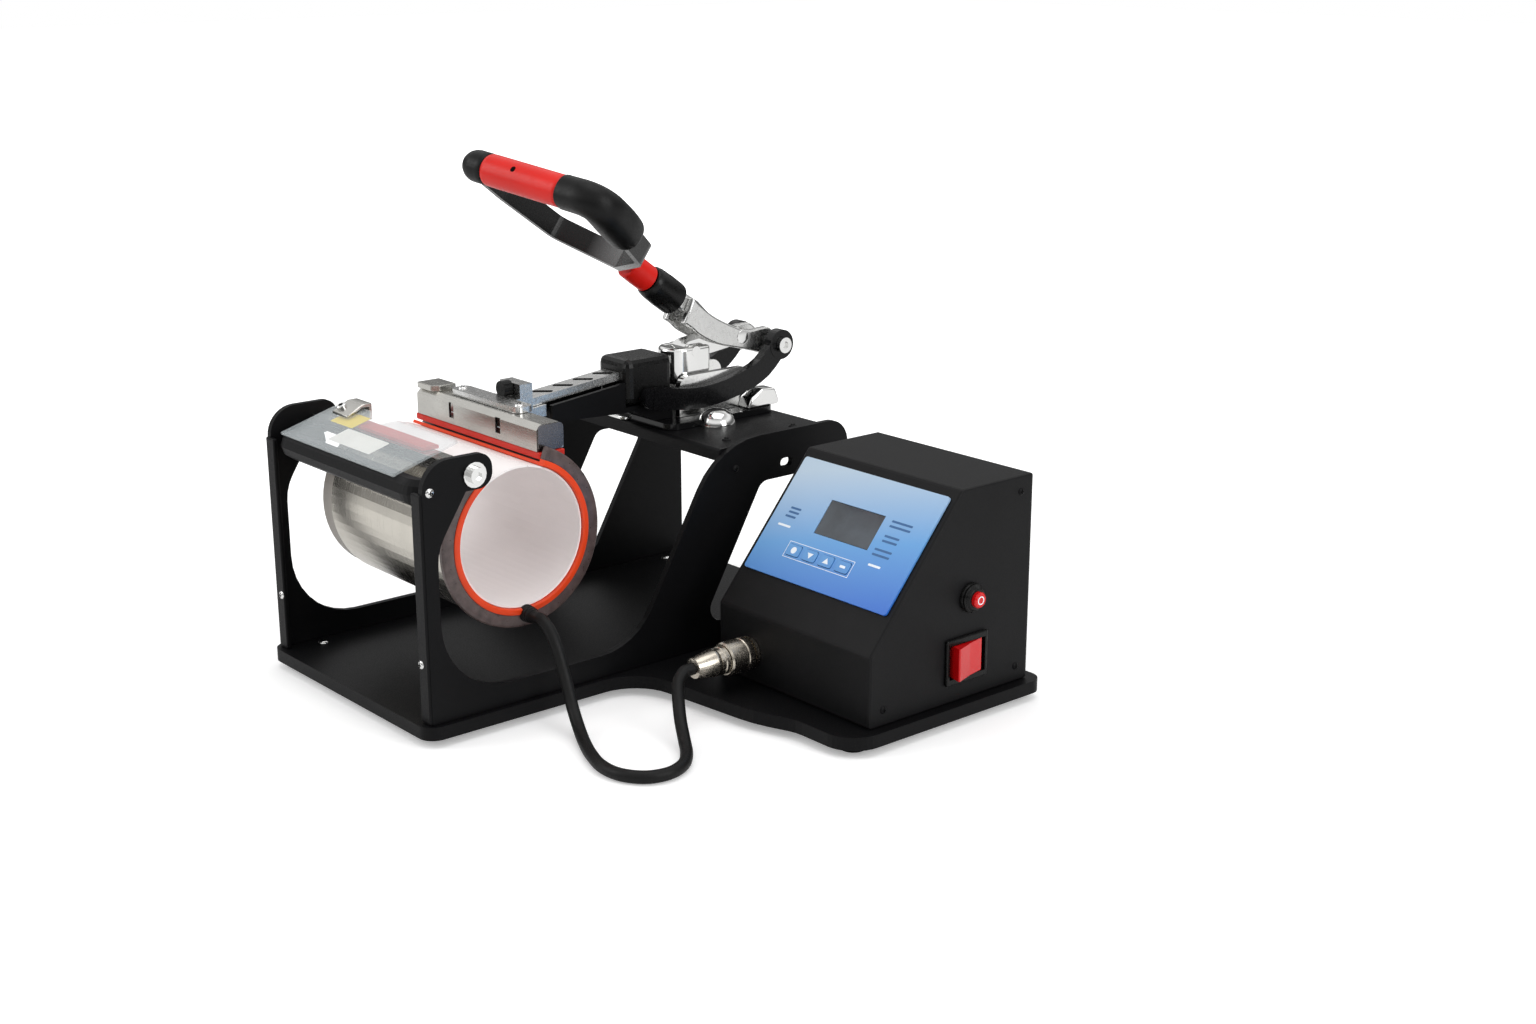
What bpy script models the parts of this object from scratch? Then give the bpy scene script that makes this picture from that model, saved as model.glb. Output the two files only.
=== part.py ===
"""Mug heat press: a sheet-steel stand, a round heater band closed by a toggle lever, and a control box.

Lengths are in metres. The working frame has X along the mug's axis, Y towards the back and Z up, with the
near side plate's outer face at X = 0, the posts' front faces at Y = 0 and the base plate's top at Z = 0.
The empty "press_origin" then brings the middle of the footprint, on the floor, to the world's origin.
"""

import math

import bmesh
import bpy
from mathutils import Matrix, Vector

# Fits and shared values
SEAT = 0.0003          # between pieces that touch
RUNNING = 0.0005       # between pieces that slide or turn
OVERRUN = 0.002        # how far a cutter passes the wall it cuts
EDGE = 0.0008          # small rounded edges
ARC_STEP = math.radians(10)

# Base plate and feet
BASE_TOP = 0.0
BASE_HEIGHT = 0.008
BASE_SHEET = 0.002
BASE_MARGIN = 0.004    # base plate beyond the side plates
BASE_REAR_MARGIN = 0.003
BASE_NOSE = 0.020      # base plate in front of the control box
BASE_SIDE_MARGIN = 0.007
BASE_CORNER = 0.010
BASE_BIG_CORNER = 0.028
FOOT_RADIUS = 0.009
FOOT_TAPER = 0.0015
FOOT_DROP = 0.005      # foot below the base plate's skirt
FOOT_INSET = 0.018

# Side plates
PLATE_SPACING = 0.1795
PLATE_THICK = 0.004
PLATE_DEPTH = 0.322
POST_TOP = 0.1545
POST_CORNER = 0.018
REAR_TOP = 0.131
REAR_CORNER = 0.016
SILL = 0.014
CUT_FRONT = 0.010
CUT_REAR_SHARE = 0.456522
CUT_WAIST = 0.103
CUT_FRONT_RADIUS = 0.078
CUT_REAR_RADIUS = 0.045
CUT_WAIST_RADIUS = 0.030
SHOULDER_RADIUS = 0.055
POST_LEAN_SHARE = 0.577
EAR_DEPTH = 0.048
EAR_UNDER = 0.134
EAR_ROOT = 0.030
EAR_RADIUS = 0.009
POST_WIDTH_SHARE = 0.158385
WINDOW_WIDTH_SHARE = 0.139752
WINDOW_SILL = 0.016
WINDOW_TOP = 0.101
WINDOW_RADIUS = 0.009
FLANGE_WIDTH = 0.010
FLANGE_THICK = 0.003
PEEP_BACK = 0.053
PEEP_Z = 0.110
PEEP_LENGTH = 0.010
PEEP_HEIGHT = 0.006

# Cross plate between the side plates
CROSS_DEPTH = 0.095
CROSS_BACK = 0.010
CROSS_TOP = 0.126
CROSS_THICK = 0.003
CROSS_LIP = 0.0078
CROSS_EDGE = 0.002

# Front tube, clamp bar and cover
TUBE_RADIUS = 0.00825
TUBE_Y = 0.0088
TUBE_Z = 0.1335
TUBE_END = 0.030
TUBE_BEND = 0.016
BAR_Y = 0.0355
BAR_Z = 0.1430
BAR_DEPTH = 0.010
BAR_HEIGHT = 0.0075
EAR_BOLT_RADIUS = 0.003
EAR_HEAD_RADIUS = 0.0050
EAR_HEAD = 0.0035
EAR_WASHER_RADIUS = 0.0075
EAR_WASHER = 0.0015
BOLT_SOCKET_SHARE = 0.5
COVER_THICK = 0.0016
COVER_FRONT = 0.0025
COVER_REAR = 0.046
COVER_FAR_GAP = 0.0125
COVER_NEAR_GAP = 0.028
COVER_SLOPE_SHARE = 0.29
COVER_CORNER = 0.004

# Heater band
MUG_RADIUS = 0.042     # inside of the band
BAND_Y = 0.078
BAND_Z = 0.0937
LINER_THICK = 0.0010
MAT_THICK = 0.0020
SPONGE_THICK = 0.0040
JACKET_THICK = 0.0008
SHELL_THICK = 0.0006
BAND_NEAR = 0.018      # band's near end, inside the near plate's outer face
BAND_LENGTH = 0.144
SHELL_NEAR_INSET = 0.007
SHELL_FAR_INSET = 0.012
FRONT_OPENING = math.radians(34)
SLIT_HALF = math.radians(0.6)
FLAP_ANGLE = math.radians(8)
PAD_FRONT = 0.0945     # front edge of the pressed pad and its channel
PAD_THICK = 0.0041
PAD_BOTTOM = 0.1369
PAD_DEPTH = 0.0185
PAD_LENGTH = 0.137
FRONT_PAD_INSET = 0.0025   # pad behind the bar's front face
FRONT_PAD_DEPTH = 0.011
FRONT_PAD_THICK = 0.002
FRONT_PAD_LENGTH = 0.080
GLAND_RADIUS = 0.0052
GLAND_LENGTH = 0.008
GLAND_TAPER = 0.0008

# Plunger: channel, yoke and slide bar, driven along a line that rises to the back
SLIDE_RISE_SHARE = 0.105
SLIDE_TRAVEL = 0.0272
CHANNEL_LENGTH = 0.1325
CHANNEL_DEPTH = 0.019
CHANNEL_HEIGHT = 0.0163
CHANNEL_WALL = 0.0016
CHANNEL_BEND = 0.003
NOTCH_WIDTH = 0.0052
NOTCH_HEIGHT = 0.0095
NOTCH_PLACES_SHARES = (-0.20, 0.19)
YOKE_HALF = 0.011
YOKE_ARM_HALF = 0.037
YOKE_ARM_DEPTH = 0.013
YOKE_ARM_THICK = 0.0036
YOKE_BOTTOM = 0.146
YOKE_WEB = 0.0018      # casting under the pressure knob
YOKE_BOSS = 0.0092
YOKE_BOSS_RISE = 0.0105
YOKE_TAIL = 0.010
KNOB_RADIUS = 0.0050
KNOB_LENGTH = 0.0065
KNOB_SHAFT = 0.0025
BAR_HALF_WIDTH = 0.008
SLIDE_THICK = 0.005
SLIDE_TOP = 0.158      # top of the slide bar at SLIDE_TOP_Y
SLIDE_TOP_Y = 0.135
SLOT_COUNT = 4
SLOT_FIRST = 0.1450
SLOT_PITCH = 0.0155
SLOT_LENGTH = 0.0125
SLOT_WIDTH = 0.0034
SLOT_ANGLE = math.radians(35)

# Guide arm and sleeve
ARM_FRONT = 0.142
ARM_WALL = 0.003
ARM_FLOOR = 0.145
ARM_FLOOR_THICK = 0.0030
ARM_KNEE = 0.205
ARM_DROP = 0.006       # walls below the slide bar's top
SLEEVE_FRONT = 0.199
SLEEVE_LENGTH = 0.0375
SLEEVE_HALF = 0.016
SLEEVE_TOP = 0.173
SLEEVE_BOTTOM = 0.143
SLEEVE_EDGE = 0.005

# Toggle bracket, links and lever
PIVOT_Y = 0.322
PIVOT_Z = 0.169
PIVOT_RADIUS = 0.004
HUB_RADIUS = 0.010
CRANK = 0.025          # pivot to the link's upper pin
CRANK_ANGLE = math.radians(165)
LINK_PIN_Y = 0.2582
LINK_PIN_Z = 0.1709
LINK_HALF = 0.0065
LINK_HEIGHT = 0.012
PIN_RADIUS = 0.0035
CHEEK_THICK = 0.0055
WALL_THICK = 0.0045
LINK_ARM_THICK = 0.0065
LINK_ARM_HEIGHT = 0.014
LINK_ARM_FRONT = 0.214
LINK_ARM_Z = 0.1475
LINK_ARM_SAG = 0.143
LINK_ARM_REAR = 0.300
FOOT_PLATE_THICK = 0.004
FOOT_PLATE_HALF = 0.031
FOOT_PLATE_FRONT = 0.222
FOOT_PLATE_REAR = 0.311
FOOT_PLATE_CORNER = 0.008
WALL_FRONT = 0.240
WALL_REAR = 0.300
WALL_TOP = 0.157
WALL_CORNER = 0.008
BLOCK_TOP = 0.180
BLOCK_BOTTOM = 0.150
BLOCK_CORNER = 0.006
BLOCK_FRONT = 0.237
BLOCK_BACK_MARGIN = 0.0125   # block behind its pin
FORK_FRONT = 0.010           # fork slot in front of its pin
PIVOT_HEAD_RADIUS = 0.0053
PIVOT_HEAD = 0.0035
LEVER_ANGLE = math.radians(36.2)
HEEL_Y = 0.267
HEEL_Z = 0.1924
NECK_HALF = 0.0065
NECK_HEIGHT = 0.016
NECK_TAPER = 0.020
FORK_START = 0.006
CHEEK_NECK = 0.007
FERRULE_START = 0.020
FERRULE_LENGTH = 0.027
FERRULE_RADIUS = 0.0112
COLLAR_LENGTH = 0.020
COLLAR_RADIUS = 0.0090
STEM_RADIUS = 0.0045
LOOP_START = 0.070
GRIP_REACH = 0.1685
LOOP_SPREAD_SHARE = 0.264
LOOP_KNEE_SHARE = 0.711
LOOP_NEAR_HALF = 0.045
LOOP_FAR_HALF = 0.053
LOOP_TUCK = 0.002      # side of the stirrup at its knee, inside its corner
LOOP_FOOT_SHARE = 0.76
LOOP_CORNER = 0.011
LOOP_YAW = math.radians(13.4)
STRIP_THICK = 0.0045
STRIP_HALF = 0.0072
FOOT_LIFT_SHARE = 0.60
GRIP_RADIUS = 0.0100
RED_GRIP_FAR = 0.0465
RED_GRIP_NEAR = 0.0165
SIDE_SLEEVE_SHARE = 0.56
CAP_END = 0.0085
CAP_ROUND = 0.006
CAP_STEPS = 4

# Control box
BOX_LEFT = 0.0341
BOX_WIDTH = 0.1331
BOX_FRONT = 0.1851
BOX_DEPTH = 0.1316
BOX_FOLD = 0.0435
BOX_TOP = 0.1288
BOX_SLOPE_DEPTH = 0.0717
BOX_WALL = 0.0016
BOX_EDGE = 0.0015
PANEL_WIDTH = 0.124
PANEL_HEIGHT = 0.0787
PANEL_BOTTOM = 0.026
PANEL_THICK = 0.0012
PANEL_CORNER = 0.002
LCD_CENTRE = 0.1013
LCD_WIDTH = 0.046
LCD_HEIGHT = 0.0227
LCD_BOTTOM = 0.0596
KEY_COUNT = 4
KEY_FIRST = 0.0712
KEY_PITCH = 0.0143
KEY_UP = 0.045
KEY_WIDTH = 0.011
KEY_HEIGHT = 0.0072
KEY_LIFT = 0.0005
KEY_THICK = 0.0012
KEY_TRAVEL = 0.0004
KEY_CORNER = 0.0015
BOARD_WIDTH = 0.100
BOARD_HEIGHT = 0.060
BOARD_THICK = 0.0016
STANDOFF = 0.005
STANDOFF_RADIUS = 0.003
CHIP_SHARES = ((-0.30, 0.10, 0.16, 0.22), (0.05, -0.20, 0.12, 0.20), (0.30, 0.15, 0.20, 0.30))
CHIP_HEIGHT = 0.006
TRANSFORMER_WIDTH = 0.042
TRANSFORMER_DEPTH = 0.036
TRANSFORMER_HEIGHT = 0.034
COIL_SHARE = 0.62

# Switches on the box's right face
ROCKER_Y = 0.262
ROCKER_Z = 0.026
ROCKER_FRAME = 0.034
ROCKER_FRAME_HEIGHT = 0.0285
ROCKER_RIM = 0.002
ROCKER_HALF = 0.013
ROCKER_CAP_HEIGHT = 0.020
ROCKER_OUT = 0.0085
ROCKER_MID = 0.0042
ROCKER_IN = 0.0015
ROCKER_ROOT = 0.006
ROCKER_SWING = 0.0018
ROCKER_DEPTH = 0.013
ROCKER_BODY_WALL = 0.0012
BREAKER_Y = 0.265
BREAKER_Z = 0.0627
BREAKER_RADIUS = 0.0085
BREAKER_RIM = 0.0040
BREAKER_BODY = 0.0065
BREAKER_DEPTH = 0.022
BUTTON_RADIUS = 0.0048
BUTTON_OUT = 0.0045
BUTTON_TRAVEL = 0.002
BUTTON_DEPTH = 0.006

# Connector, mains inlet and heater cable
PLUG_X = 0.063
PLUG_Z = 0.0190
SOCKET_FLANGE = 0.0100
SOCKET_FLANGE_THICK = 0.0022
SOCKET_RADIUS = 0.0066
SOCKET_OUT = 0.011
SOCKET_IN = 0.010
RING_RADIUS = 0.0103
RING_LENGTH = 0.0180
RING_START = 0.0030    # ring in front of the box's face
PLUG_RADIUS = 0.0086
PLUG_BARREL = 0.013
PLUG_TAIL = 0.0095
PLUG_TAIL_RADIUS = 0.0058
SPIGOT = 0.009
CABLE_RADIUS = 0.00375
CABLE_STEP = 0.0140
CABLE_LEAD = 0.003     # straight ends of the cable
INLET_X = 0.120
INLET_Z = 0.040
INLET_WIDTH = 0.030
INLET_HEIGHT = 0.023
INLET_RIM = 0.0025
INLET_DEPTH = 0.018
INLET_WELL = 0.015
INLET_WALL = 0.0025
INLET_CORNER = 0.004
PIN_LENGTH = 0.009
PIN_HALF_SHARE = 0.06

# Route of the heater cable from the gland to the plug, chosen by hand
CABLE_ROUTE = (
    (-0.0097, 0.0790, 0.0466), (-0.0010, 0.0790, 0.0464), (0.0065, 0.0793, 0.0415), (0.0125, 0.0796, 0.0325),
    (0.0175, 0.0797, 0.0220), (0.0235, 0.0790, 0.0110), (0.0310, 0.0770, 0.0005), (0.0430, 0.0725, -0.0068),
    (0.0580, 0.0655, -0.0090), (0.0750, 0.0580, -0.0090), (0.0920, 0.0530, -0.0090), (0.1075, 0.0540, -0.0090),
    (0.1195, 0.0625, -0.0090), (0.1235, 0.0755, -0.0090), (0.1190, 0.0890, -0.0090), (0.1080, 0.1000, -0.0088),
    (0.0950, 0.1085, -0.0065), (0.0830, 0.1155, -0.0005), (0.0730, 0.1220, 0.0075), (0.0660, 0.1275, 0.0142),
    (0.0632, 0.1340, 0.0185),
)

# Places worked out from the sizes
NEAR = 0.0
FAR = -PLATE_SPACING
MIDDLE = -PLATE_SPACING / 2
INNER_NEAR = -PLATE_THICK
INNER_FAR = FAR + PLATE_THICK
FLOOR = BASE_TOP - BASE_HEIGHT - FOOT_DROP
BOX_RIGHT = BOX_LEFT + BOX_WIDTH
BOX_REAR = BOX_FRONT + BOX_DEPTH
SLOPE_LENGTH = math.hypot(BOX_SLOPE_DEPTH, BOX_TOP - BOX_FOLD)
SLOPE_ANGLE = math.atan2(BOX_TOP - BOX_FOLD, BOX_SLOPE_DEPTH)
BASE_LEFT = FAR - BASE_MARGIN
BASE_RIGHT = BOX_RIGHT + BASE_SIDE_MARGIN
BASE_FRONT = -BASE_MARGIN
BASE_REAR = PLATE_DEPTH + BASE_REAR_MARGIN
CUT_REAR = PLATE_DEPTH * CUT_REAR_SHARE
POST_WIDTH = PLATE_DEPTH * POST_WIDTH_SHARE
WINDOW_WIDTH = PLATE_DEPTH * WINDOW_WIDTH_SHARE
PEEP_Y = PLATE_DEPTH - PEEP_BACK
CROSS_REAR = PLATE_DEPTH - CROSS_BACK
CROSS_FRONT = CROSS_REAR - CROSS_DEPTH
PRESS_REAR = PIVOT_Y + HUB_RADIUS
PRESS_LEFT = FAR - SEAT - EAR_WASHER - EAR_HEAD
PRESS_RIGHT = BOX_RIGHT + SEAT + BREAKER_RIM + BUTTON_OUT
BAND_FAR = -BAND_NEAR - BAND_LENGTH
BAND_LAYERS = (LINER_THICK, MAT_THICK, SPONGE_THICK, JACKET_THICK, SHELL_THICK)
BAND_OUTER = MUG_RADIUS + sum(BAND_LAYERS) + SEAT * (len(BAND_LAYERS) - 1)
SLIDE_DIRECTION = Vector((0.0, 1.0, SLIDE_RISE_SHARE)).normalized()
CRANK_PIN_Y = PIVOT_Y + CRANK * math.cos(CRANK_ANGLE)
CRANK_PIN_Z = PIVOT_Z + CRANK * math.sin(CRANK_ANGLE)
CHEEK_IN = LINK_HALF + RUNNING
CHEEK_OUT = CHEEK_IN + CHEEK_THICK
WALL_IN = CHEEK_OUT + RUNNING
WALL_OUT = WALL_IN + WALL_THICK
ARM_IN = WALL_OUT + SEAT
ARM_OUT = ARM_IN + LINK_ARM_THICK
CHANNEL_BOTTOM = PAD_BOTTOM + PAD_THICK + SEAT
CHANNEL_TOP = CHANNEL_BOTTOM + CHANNEL_HEIGHT
CHANNEL_REAR = PAD_FRONT + CHANNEL_DEPTH
YOKE_REAR = CHANNEL_REAR + SEAT + KNOB_LENGTH + RUNNING + YOKE_BOSS + YOKE_TAIL

# Colour, roughness and metallic value of each material
MATERIALS = {
    "black_powdercoat": ((0.012, 0.012, 0.013), 0.45, 0.0),
    "box_black": ((0.014, 0.014, 0.015), 0.5, 0.0),
    "stainless": ((0.55, 0.54, 0.50), 0.32, 1.0),
    "chrome": ((0.70, 0.70, 0.68), 0.12, 1.0),
    "cast_alloy": ((0.62, 0.62, 0.60), 0.3, 1.0),
    "red_silicone": ((0.70, 0.035, 0.018), 0.45, 0.0),
    "orange_silicone": ((0.80, 0.11, 0.03), 0.45, 0.0),
    "sponge": ((0.23, 0.18, 0.16), 0.7, 0.0),
    "white_liner": ((0.78, 0.74, 0.73), 0.5, 0.0),
    "clear_cover": ((0.80, 0.84, 0.84), 0.15, 0.0),
    "black_rubber": ((0.010, 0.010, 0.010), 0.65, 0.0),
    "black_plastic": ((0.010, 0.010, 0.011), 0.35, 0.0),
    "red_plastic": ((0.75, 0.01, 0.015), 0.3, 0.0),
    "red_grip": ((0.80, 0.03, 0.012), 0.4, 0.0),
    "panel_blue": ((0.10, 0.33, 0.75), 0.35, 0.0),
    "lcd_grey": ((0.06, 0.08, 0.09), 0.15, 0.0),
    "key_blue": ((0.16, 0.38, 0.70), 0.35, 0.0),
    "nickel": ((0.60, 0.57, 0.50), 0.25, 1.0),
    "circuit_green": ((0.02, 0.16, 0.06), 0.5, 0.0),
    "transformer_iron": ((0.20, 0.19, 0.17), 0.5, 0.6),
}

SIDE = Matrix(((0, 0, 1), (1, 0, 0), (0, 1, 0))).to_4x4()     # outline in Y and Z, thickness along X
PLAN = Matrix.Identity(4)                                     # outline in X and Y, thickness along Z
FACE = Matrix(((1, 0, 0), (0, 0, -1), (0, 1, 0))).to_4x4()    # outline in X and Z, thickness along -Y

parts = None
cutters = None
origin = None


# Scene set-up
def clear_scene():
    for obj in list(bpy.data.objects):
        bpy.data.objects.remove(obj, do_unlink=True)
    for group in list(bpy.data.collections):
        bpy.data.collections.remove(group)


def make_collections():
    global parts, cutters, origin
    parts = bpy.data.collections.new("mug_heat_press")
    cutters = bpy.data.collections.new("cutters")
    cutters.hide_render = True
    bpy.context.scene.collection.children.link(parts)
    bpy.context.scene.collection.children.link(cutters)
    origin = empty("press_origin", (
        -(PRESS_LEFT + PRESS_RIGHT) / 2,
        -(BASE_FRONT + PRESS_REAR) / 2,
        -FLOOR,
    ))


def empty(name, place, parent=None, turn=(0, 0, 0)):
    guide = bpy.data.objects.new(name, None)
    guide.location = place
    guide.rotation_euler = turn
    guide.parent = parent
    parts.objects.link(guide)
    return guide


def material(name):
    found = bpy.data.materials.get(name)
    if found:
        return found
    colour, roughness, metallic = MATERIALS[name]
    made = bpy.data.materials.new(name)
    made.use_nodes = True
    shader = made.node_tree.nodes["Principled BSDF"]
    shader.inputs["Base Color"].default_value = (*colour, 1)
    shader.inputs["Roughness"].default_value = roughness
    shader.inputs["Metallic"].default_value = metallic
    made.diffuse_color = (*colour, 1)
    return made


# Shapes from Blender's tools. Each gives an object in the cutters' collection until it is kept as a part.
def new_object(name, mesh):
    obj = bpy.data.objects.new(name, mesh)
    obj.hide_render = True
    obj.display_type = "WIRE"
    cutters.objects.link(obj)
    return obj


def curve_mesh(curve_object):
    """The mesh of a curve, with its caps welded on."""
    graph = bpy.context.evaluated_depsgraph_get()
    mesh = bpy.data.meshes.new_from_object(curve_object.evaluated_get(graph))
    shape = bmesh.new()
    shape.from_mesh(mesh)
    bmesh.ops.remove_doubles(shape, verts=shape.verts, dist=1e-6)
    bmesh.ops.recalc_face_normals(shape, faces=shape.faces)
    shape.to_mesh(mesh)
    shape.free()
    made = new_object(curve_object.name + "_mesh", mesh)
    made.matrix_world = curve_object.matrix_world.copy()
    bpy.data.objects.remove(curve_object)
    return made


def add_spline(curve, points, cyclic):
    spline = curve.splines.new("POLY")
    spline.points.add(len(points) - 1)
    for point, place in zip(spline.points, points):
        flat = tuple(place) + (0.0,) * (3 - len(place))
        point.co = (*flat, 1)
    spline.use_cyclic_u = cyclic


def slab(name, outline, low, high, frame=PLAN, holes=()):
    """A flat outline between two heights along its own normal, with holes through it."""
    curve = bpy.data.curves.new(name, "CURVE")
    curve.dimensions = "2D"
    curve.fill_mode = "BOTH"
    curve.extrude = (high - low) / 2
    add_spline(curve, outline, True)
    for hole in holes:
        add_spline(curve, hole, True)
    made = bpy.data.objects.new(name, curve)
    cutters.objects.link(made)
    made.matrix_world = frame @ Matrix.Translation((0, 0, (low + high) / 2))
    bpy.context.view_layer.update()
    return curve_mesh(made)


def tube(name, points, radius, resolution=3, cyclic=False):
    """A round bar along a path, with filled caps."""
    curve = bpy.data.curves.new(name, "CURVE")
    curve.dimensions = "3D"
    curve.bevel_depth = radius
    curve.bevel_resolution = resolution
    curve.use_fill_caps = True
    add_spline(curve, points, cyclic)
    made = bpy.data.objects.new(name, curve)
    cutters.objects.link(made)
    bpy.context.view_layer.update()
    return curve_mesh(made)


def cone(name, start, end, radius, end_radius=None, sides=24):
    """A round bar or cone from one point to another."""
    start, end = Vector(start), Vector(end)
    shape = bmesh.new()
    bmesh.ops.create_cone(
        shape, cap_ends=True, segments=sides, radius1=radius,
        radius2=radius if end_radius is None else end_radius, depth=(end - start).length,
    )
    mesh = bpy.data.meshes.new(name)
    shape.to_mesh(mesh)
    shape.free()
    made = new_object(name, mesh)
    made.matrix_world = Matrix.Translation((start + end) / 2) @ (end - start).to_track_quat("Z", "Y").to_matrix().to_4x4()
    return made


def box(name, low, high):
    shape = bmesh.new()
    bmesh.ops.create_cube(shape, size=1)
    size = [b - a for a, b in zip(low, high)]
    bmesh.ops.scale(shape, vec=size, verts=shape.verts)
    bmesh.ops.translate(shape, vec=[(a + b) / 2 for a, b in zip(low, high)], verts=shape.verts)
    mesh = bpy.data.meshes.new(name)
    shape.to_mesh(mesh)
    shape.free()
    return new_object(name, mesh)


def turned(name, profile, place, direction, sides=32):
    """A profile of (radius, distance) pairs turned about an axis from a point. It runs down the outer side."""
    mesh = bpy.data.meshes.new(name)
    mesh.from_pydata([(r, 0, z) for r, z in profile], [(i, i + 1) for i in range(len(profile) - 1)], [])
    made = new_object(name, mesh)
    made.matrix_world = Matrix.Translation(place) @ Vector(direction).to_track_quat("Z", "Y").to_matrix().to_4x4()
    screw = made.modifiers.new("Turn", "SCREW")
    screw.steps = sides
    screw.render_steps = sides
    screw.use_merge_vertices = True
    screw.merge_threshold = 0.00001
    return made


def combine(target, other, operation):
    modifier = target.modifiers.new(operation.title(), "BOOLEAN")
    modifier.operation = operation
    modifier.solver = "EXACT"
    modifier.object = other
    return target


def cut(target, *others):
    for other in others:
        combine(target, other, "DIFFERENCE")
    return target


def join(target, *others):
    for other in others:
        combine(target, other, "UNION")
    return target


def round_edges(obj, width, segments=2):
    bevel = obj.modifiers.new("Edges", "BEVEL")
    bevel.width = width
    bevel.segments = segments
    bevel.limit_method = "ANGLE"
    bevel.angle_limit = math.radians(40)
    return obj


def place_under(obj, parent):
    """Parents an object whose matrix is already in the working frame."""
    obj.matrix_world = origin.matrix_basis @ obj.matrix_world
    bpy.context.view_layer.update()
    obj.parent = parent
    obj.matrix_parent_inverse = parent.matrix_world.inverted()


def keep(obj, name, material_name, parent=None):
    """Makes a shape a part: its name, material and place under the origin or a joint's empty."""
    obj.name = name
    obj.data.name = name
    obj.hide_render = False
    obj.display_type = "TEXTURED"
    cutters.objects.unlink(obj)
    parts.objects.link(obj)
    obj.data.materials.clear()
    obj.data.materials.append(material(material_name))
    obj.data.shade_smooth()
    obj.data.set_sharp_from_angle(angle=math.radians(35))
    shapes = [m.object for m in obj.modifiers if m.type == "BOOLEAN"]
    while shapes:
        helper = shapes.pop()
        shapes += [m.object for m in helper.modifiers if m.type == "BOOLEAN"]
        helper.matrix_world = origin.matrix_basis @ helper.matrix_world
    place_under(obj, parent or origin)
    return obj


# Outlines
def filleted(corners):
    """A closed outline from (x, y, radius) corners, each rounded by an arc."""
    points = []
    count = len(corners)
    for i, (x, y, radius) in enumerate(corners):
        here = Vector((x, y))
        before = Vector(corners[i - 1][:2]) - here
        after = Vector(corners[(i + 1) % count][:2]) - here
        if radius <= 0:
            points.append((x, y))
            continue
        a, b = before.normalized(), after.normalized()
        opening = math.acos(max(-1.0, min(1.0, a.dot(b))))
        reach = min(radius / math.tan(opening / 2), before.length / 2, after.length / 2)
        radius = reach * math.tan(opening / 2)
        centre = here + (a + b).normalized() * (radius / math.sin(opening / 2))
        start, end = here + a * reach - centre, here + b * reach - centre
        turn = math.atan2(start.x * end.y - start.y * end.x, start.dot(end))
        steps = max(2, round(abs(turn) / ARC_STEP))
        for k in range(steps + 1):
            angle = turn * k / steps
            points.append((
                centre.x + start.x * math.cos(angle) - start.y * math.sin(angle),
                centre.y + start.x * math.sin(angle) + start.y * math.cos(angle),
            ))
    return points


def rectangle(low_x, low_y, high_x, high_y, radius=0.0):
    return filleted([
        (low_x, low_y, radius), (high_x, low_y, radius), (high_x, high_y, radius), (low_x, high_y, radius),
    ])


def inset(corners, distance):
    """The corners of a straight-sided outline, given counter-clockwise, moved inwards."""
    made = []
    count = len(corners)
    for i, (x, y, radius) in enumerate(corners):
        here = Vector((x, y))
        a = (here - Vector(corners[i - 1][:2])).normalized()
        b = (Vector(corners[(i + 1) % count][:2]) - here).normalized()
        normal_a, normal_b = Vector((-a.y, a.x)), Vector((-b.y, b.x))
        across = (normal_a + normal_b) / (1 + normal_a.dot(normal_b))
        grows = a.x * b.y - a.y * b.x < 0
        moved = here + across * distance
        made.append((moved.x, moved.y, max(radius + distance if grows else radius - distance, 0)))
    return made


def ring_points(radius, start, end, centre=(BAND_Y, BAND_Z)):
    """Points of an arc. Angles run from straight up towards the back."""
    steps = max(2, round(abs(end - start) / math.radians(6)))
    angles = [start + (end - start) * k / steps for k in range(steps + 1)]
    return [(centre[0] + radius * math.sin(a), centre[1] + radius * math.cos(a)) for a in angles]


def ribbon(path, thickness):
    """The outline of a strip of even thickness along a path."""
    left, right = [], []
    for i, point in enumerate(path):
        here = Vector(point)
        back = (here - Vector(path[i - 1])).normalized() if i else None
        ahead = (Vector(path[i + 1]) - here).normalized() if i < len(path) - 1 else None
        a, b = back or ahead, ahead or back
        normal_a, normal_b = Vector((-a.y, a.x)), Vector((-b.y, b.x))
        across = (normal_a + normal_b) / (1 + normal_a.dot(normal_b)) * thickness / 2
        left.append(tuple(here + across))
        right.append(tuple(here - across))
    return left + right[::-1]


def circle(centre, radius, sides=24):
    return [
        (centre[0] + radius * math.cos(2 * math.pi * k / sides), centre[1] + radius * math.sin(2 * math.pi * k / sides))
        for k in range(sides)
    ]


def capsule(start, end, radius, end_radius=None, sides=20):
    """The outline round two circles of unlike radius."""
    end_radius = radius if end_radius is None else end_radius
    a, b = Vector(start), Vector(end)
    along = math.atan2(b.y - a.y, b.x - a.x)
    lean = math.acos((radius - end_radius) / (b - a).length)
    points = []
    half = sides // 2
    for k in range(half + 1):
        angle = along + lean + (2 * math.pi - 2 * lean) * k / half
        points.append((a.x + radius * math.cos(angle), a.y + radius * math.sin(angle)))
    for k in range(half + 1):
        angle = along - lean + 2 * lean * k / half
        points.append((b.x + end_radius * math.cos(angle), b.y + end_radius * math.sin(angle)))
    return points


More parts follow.
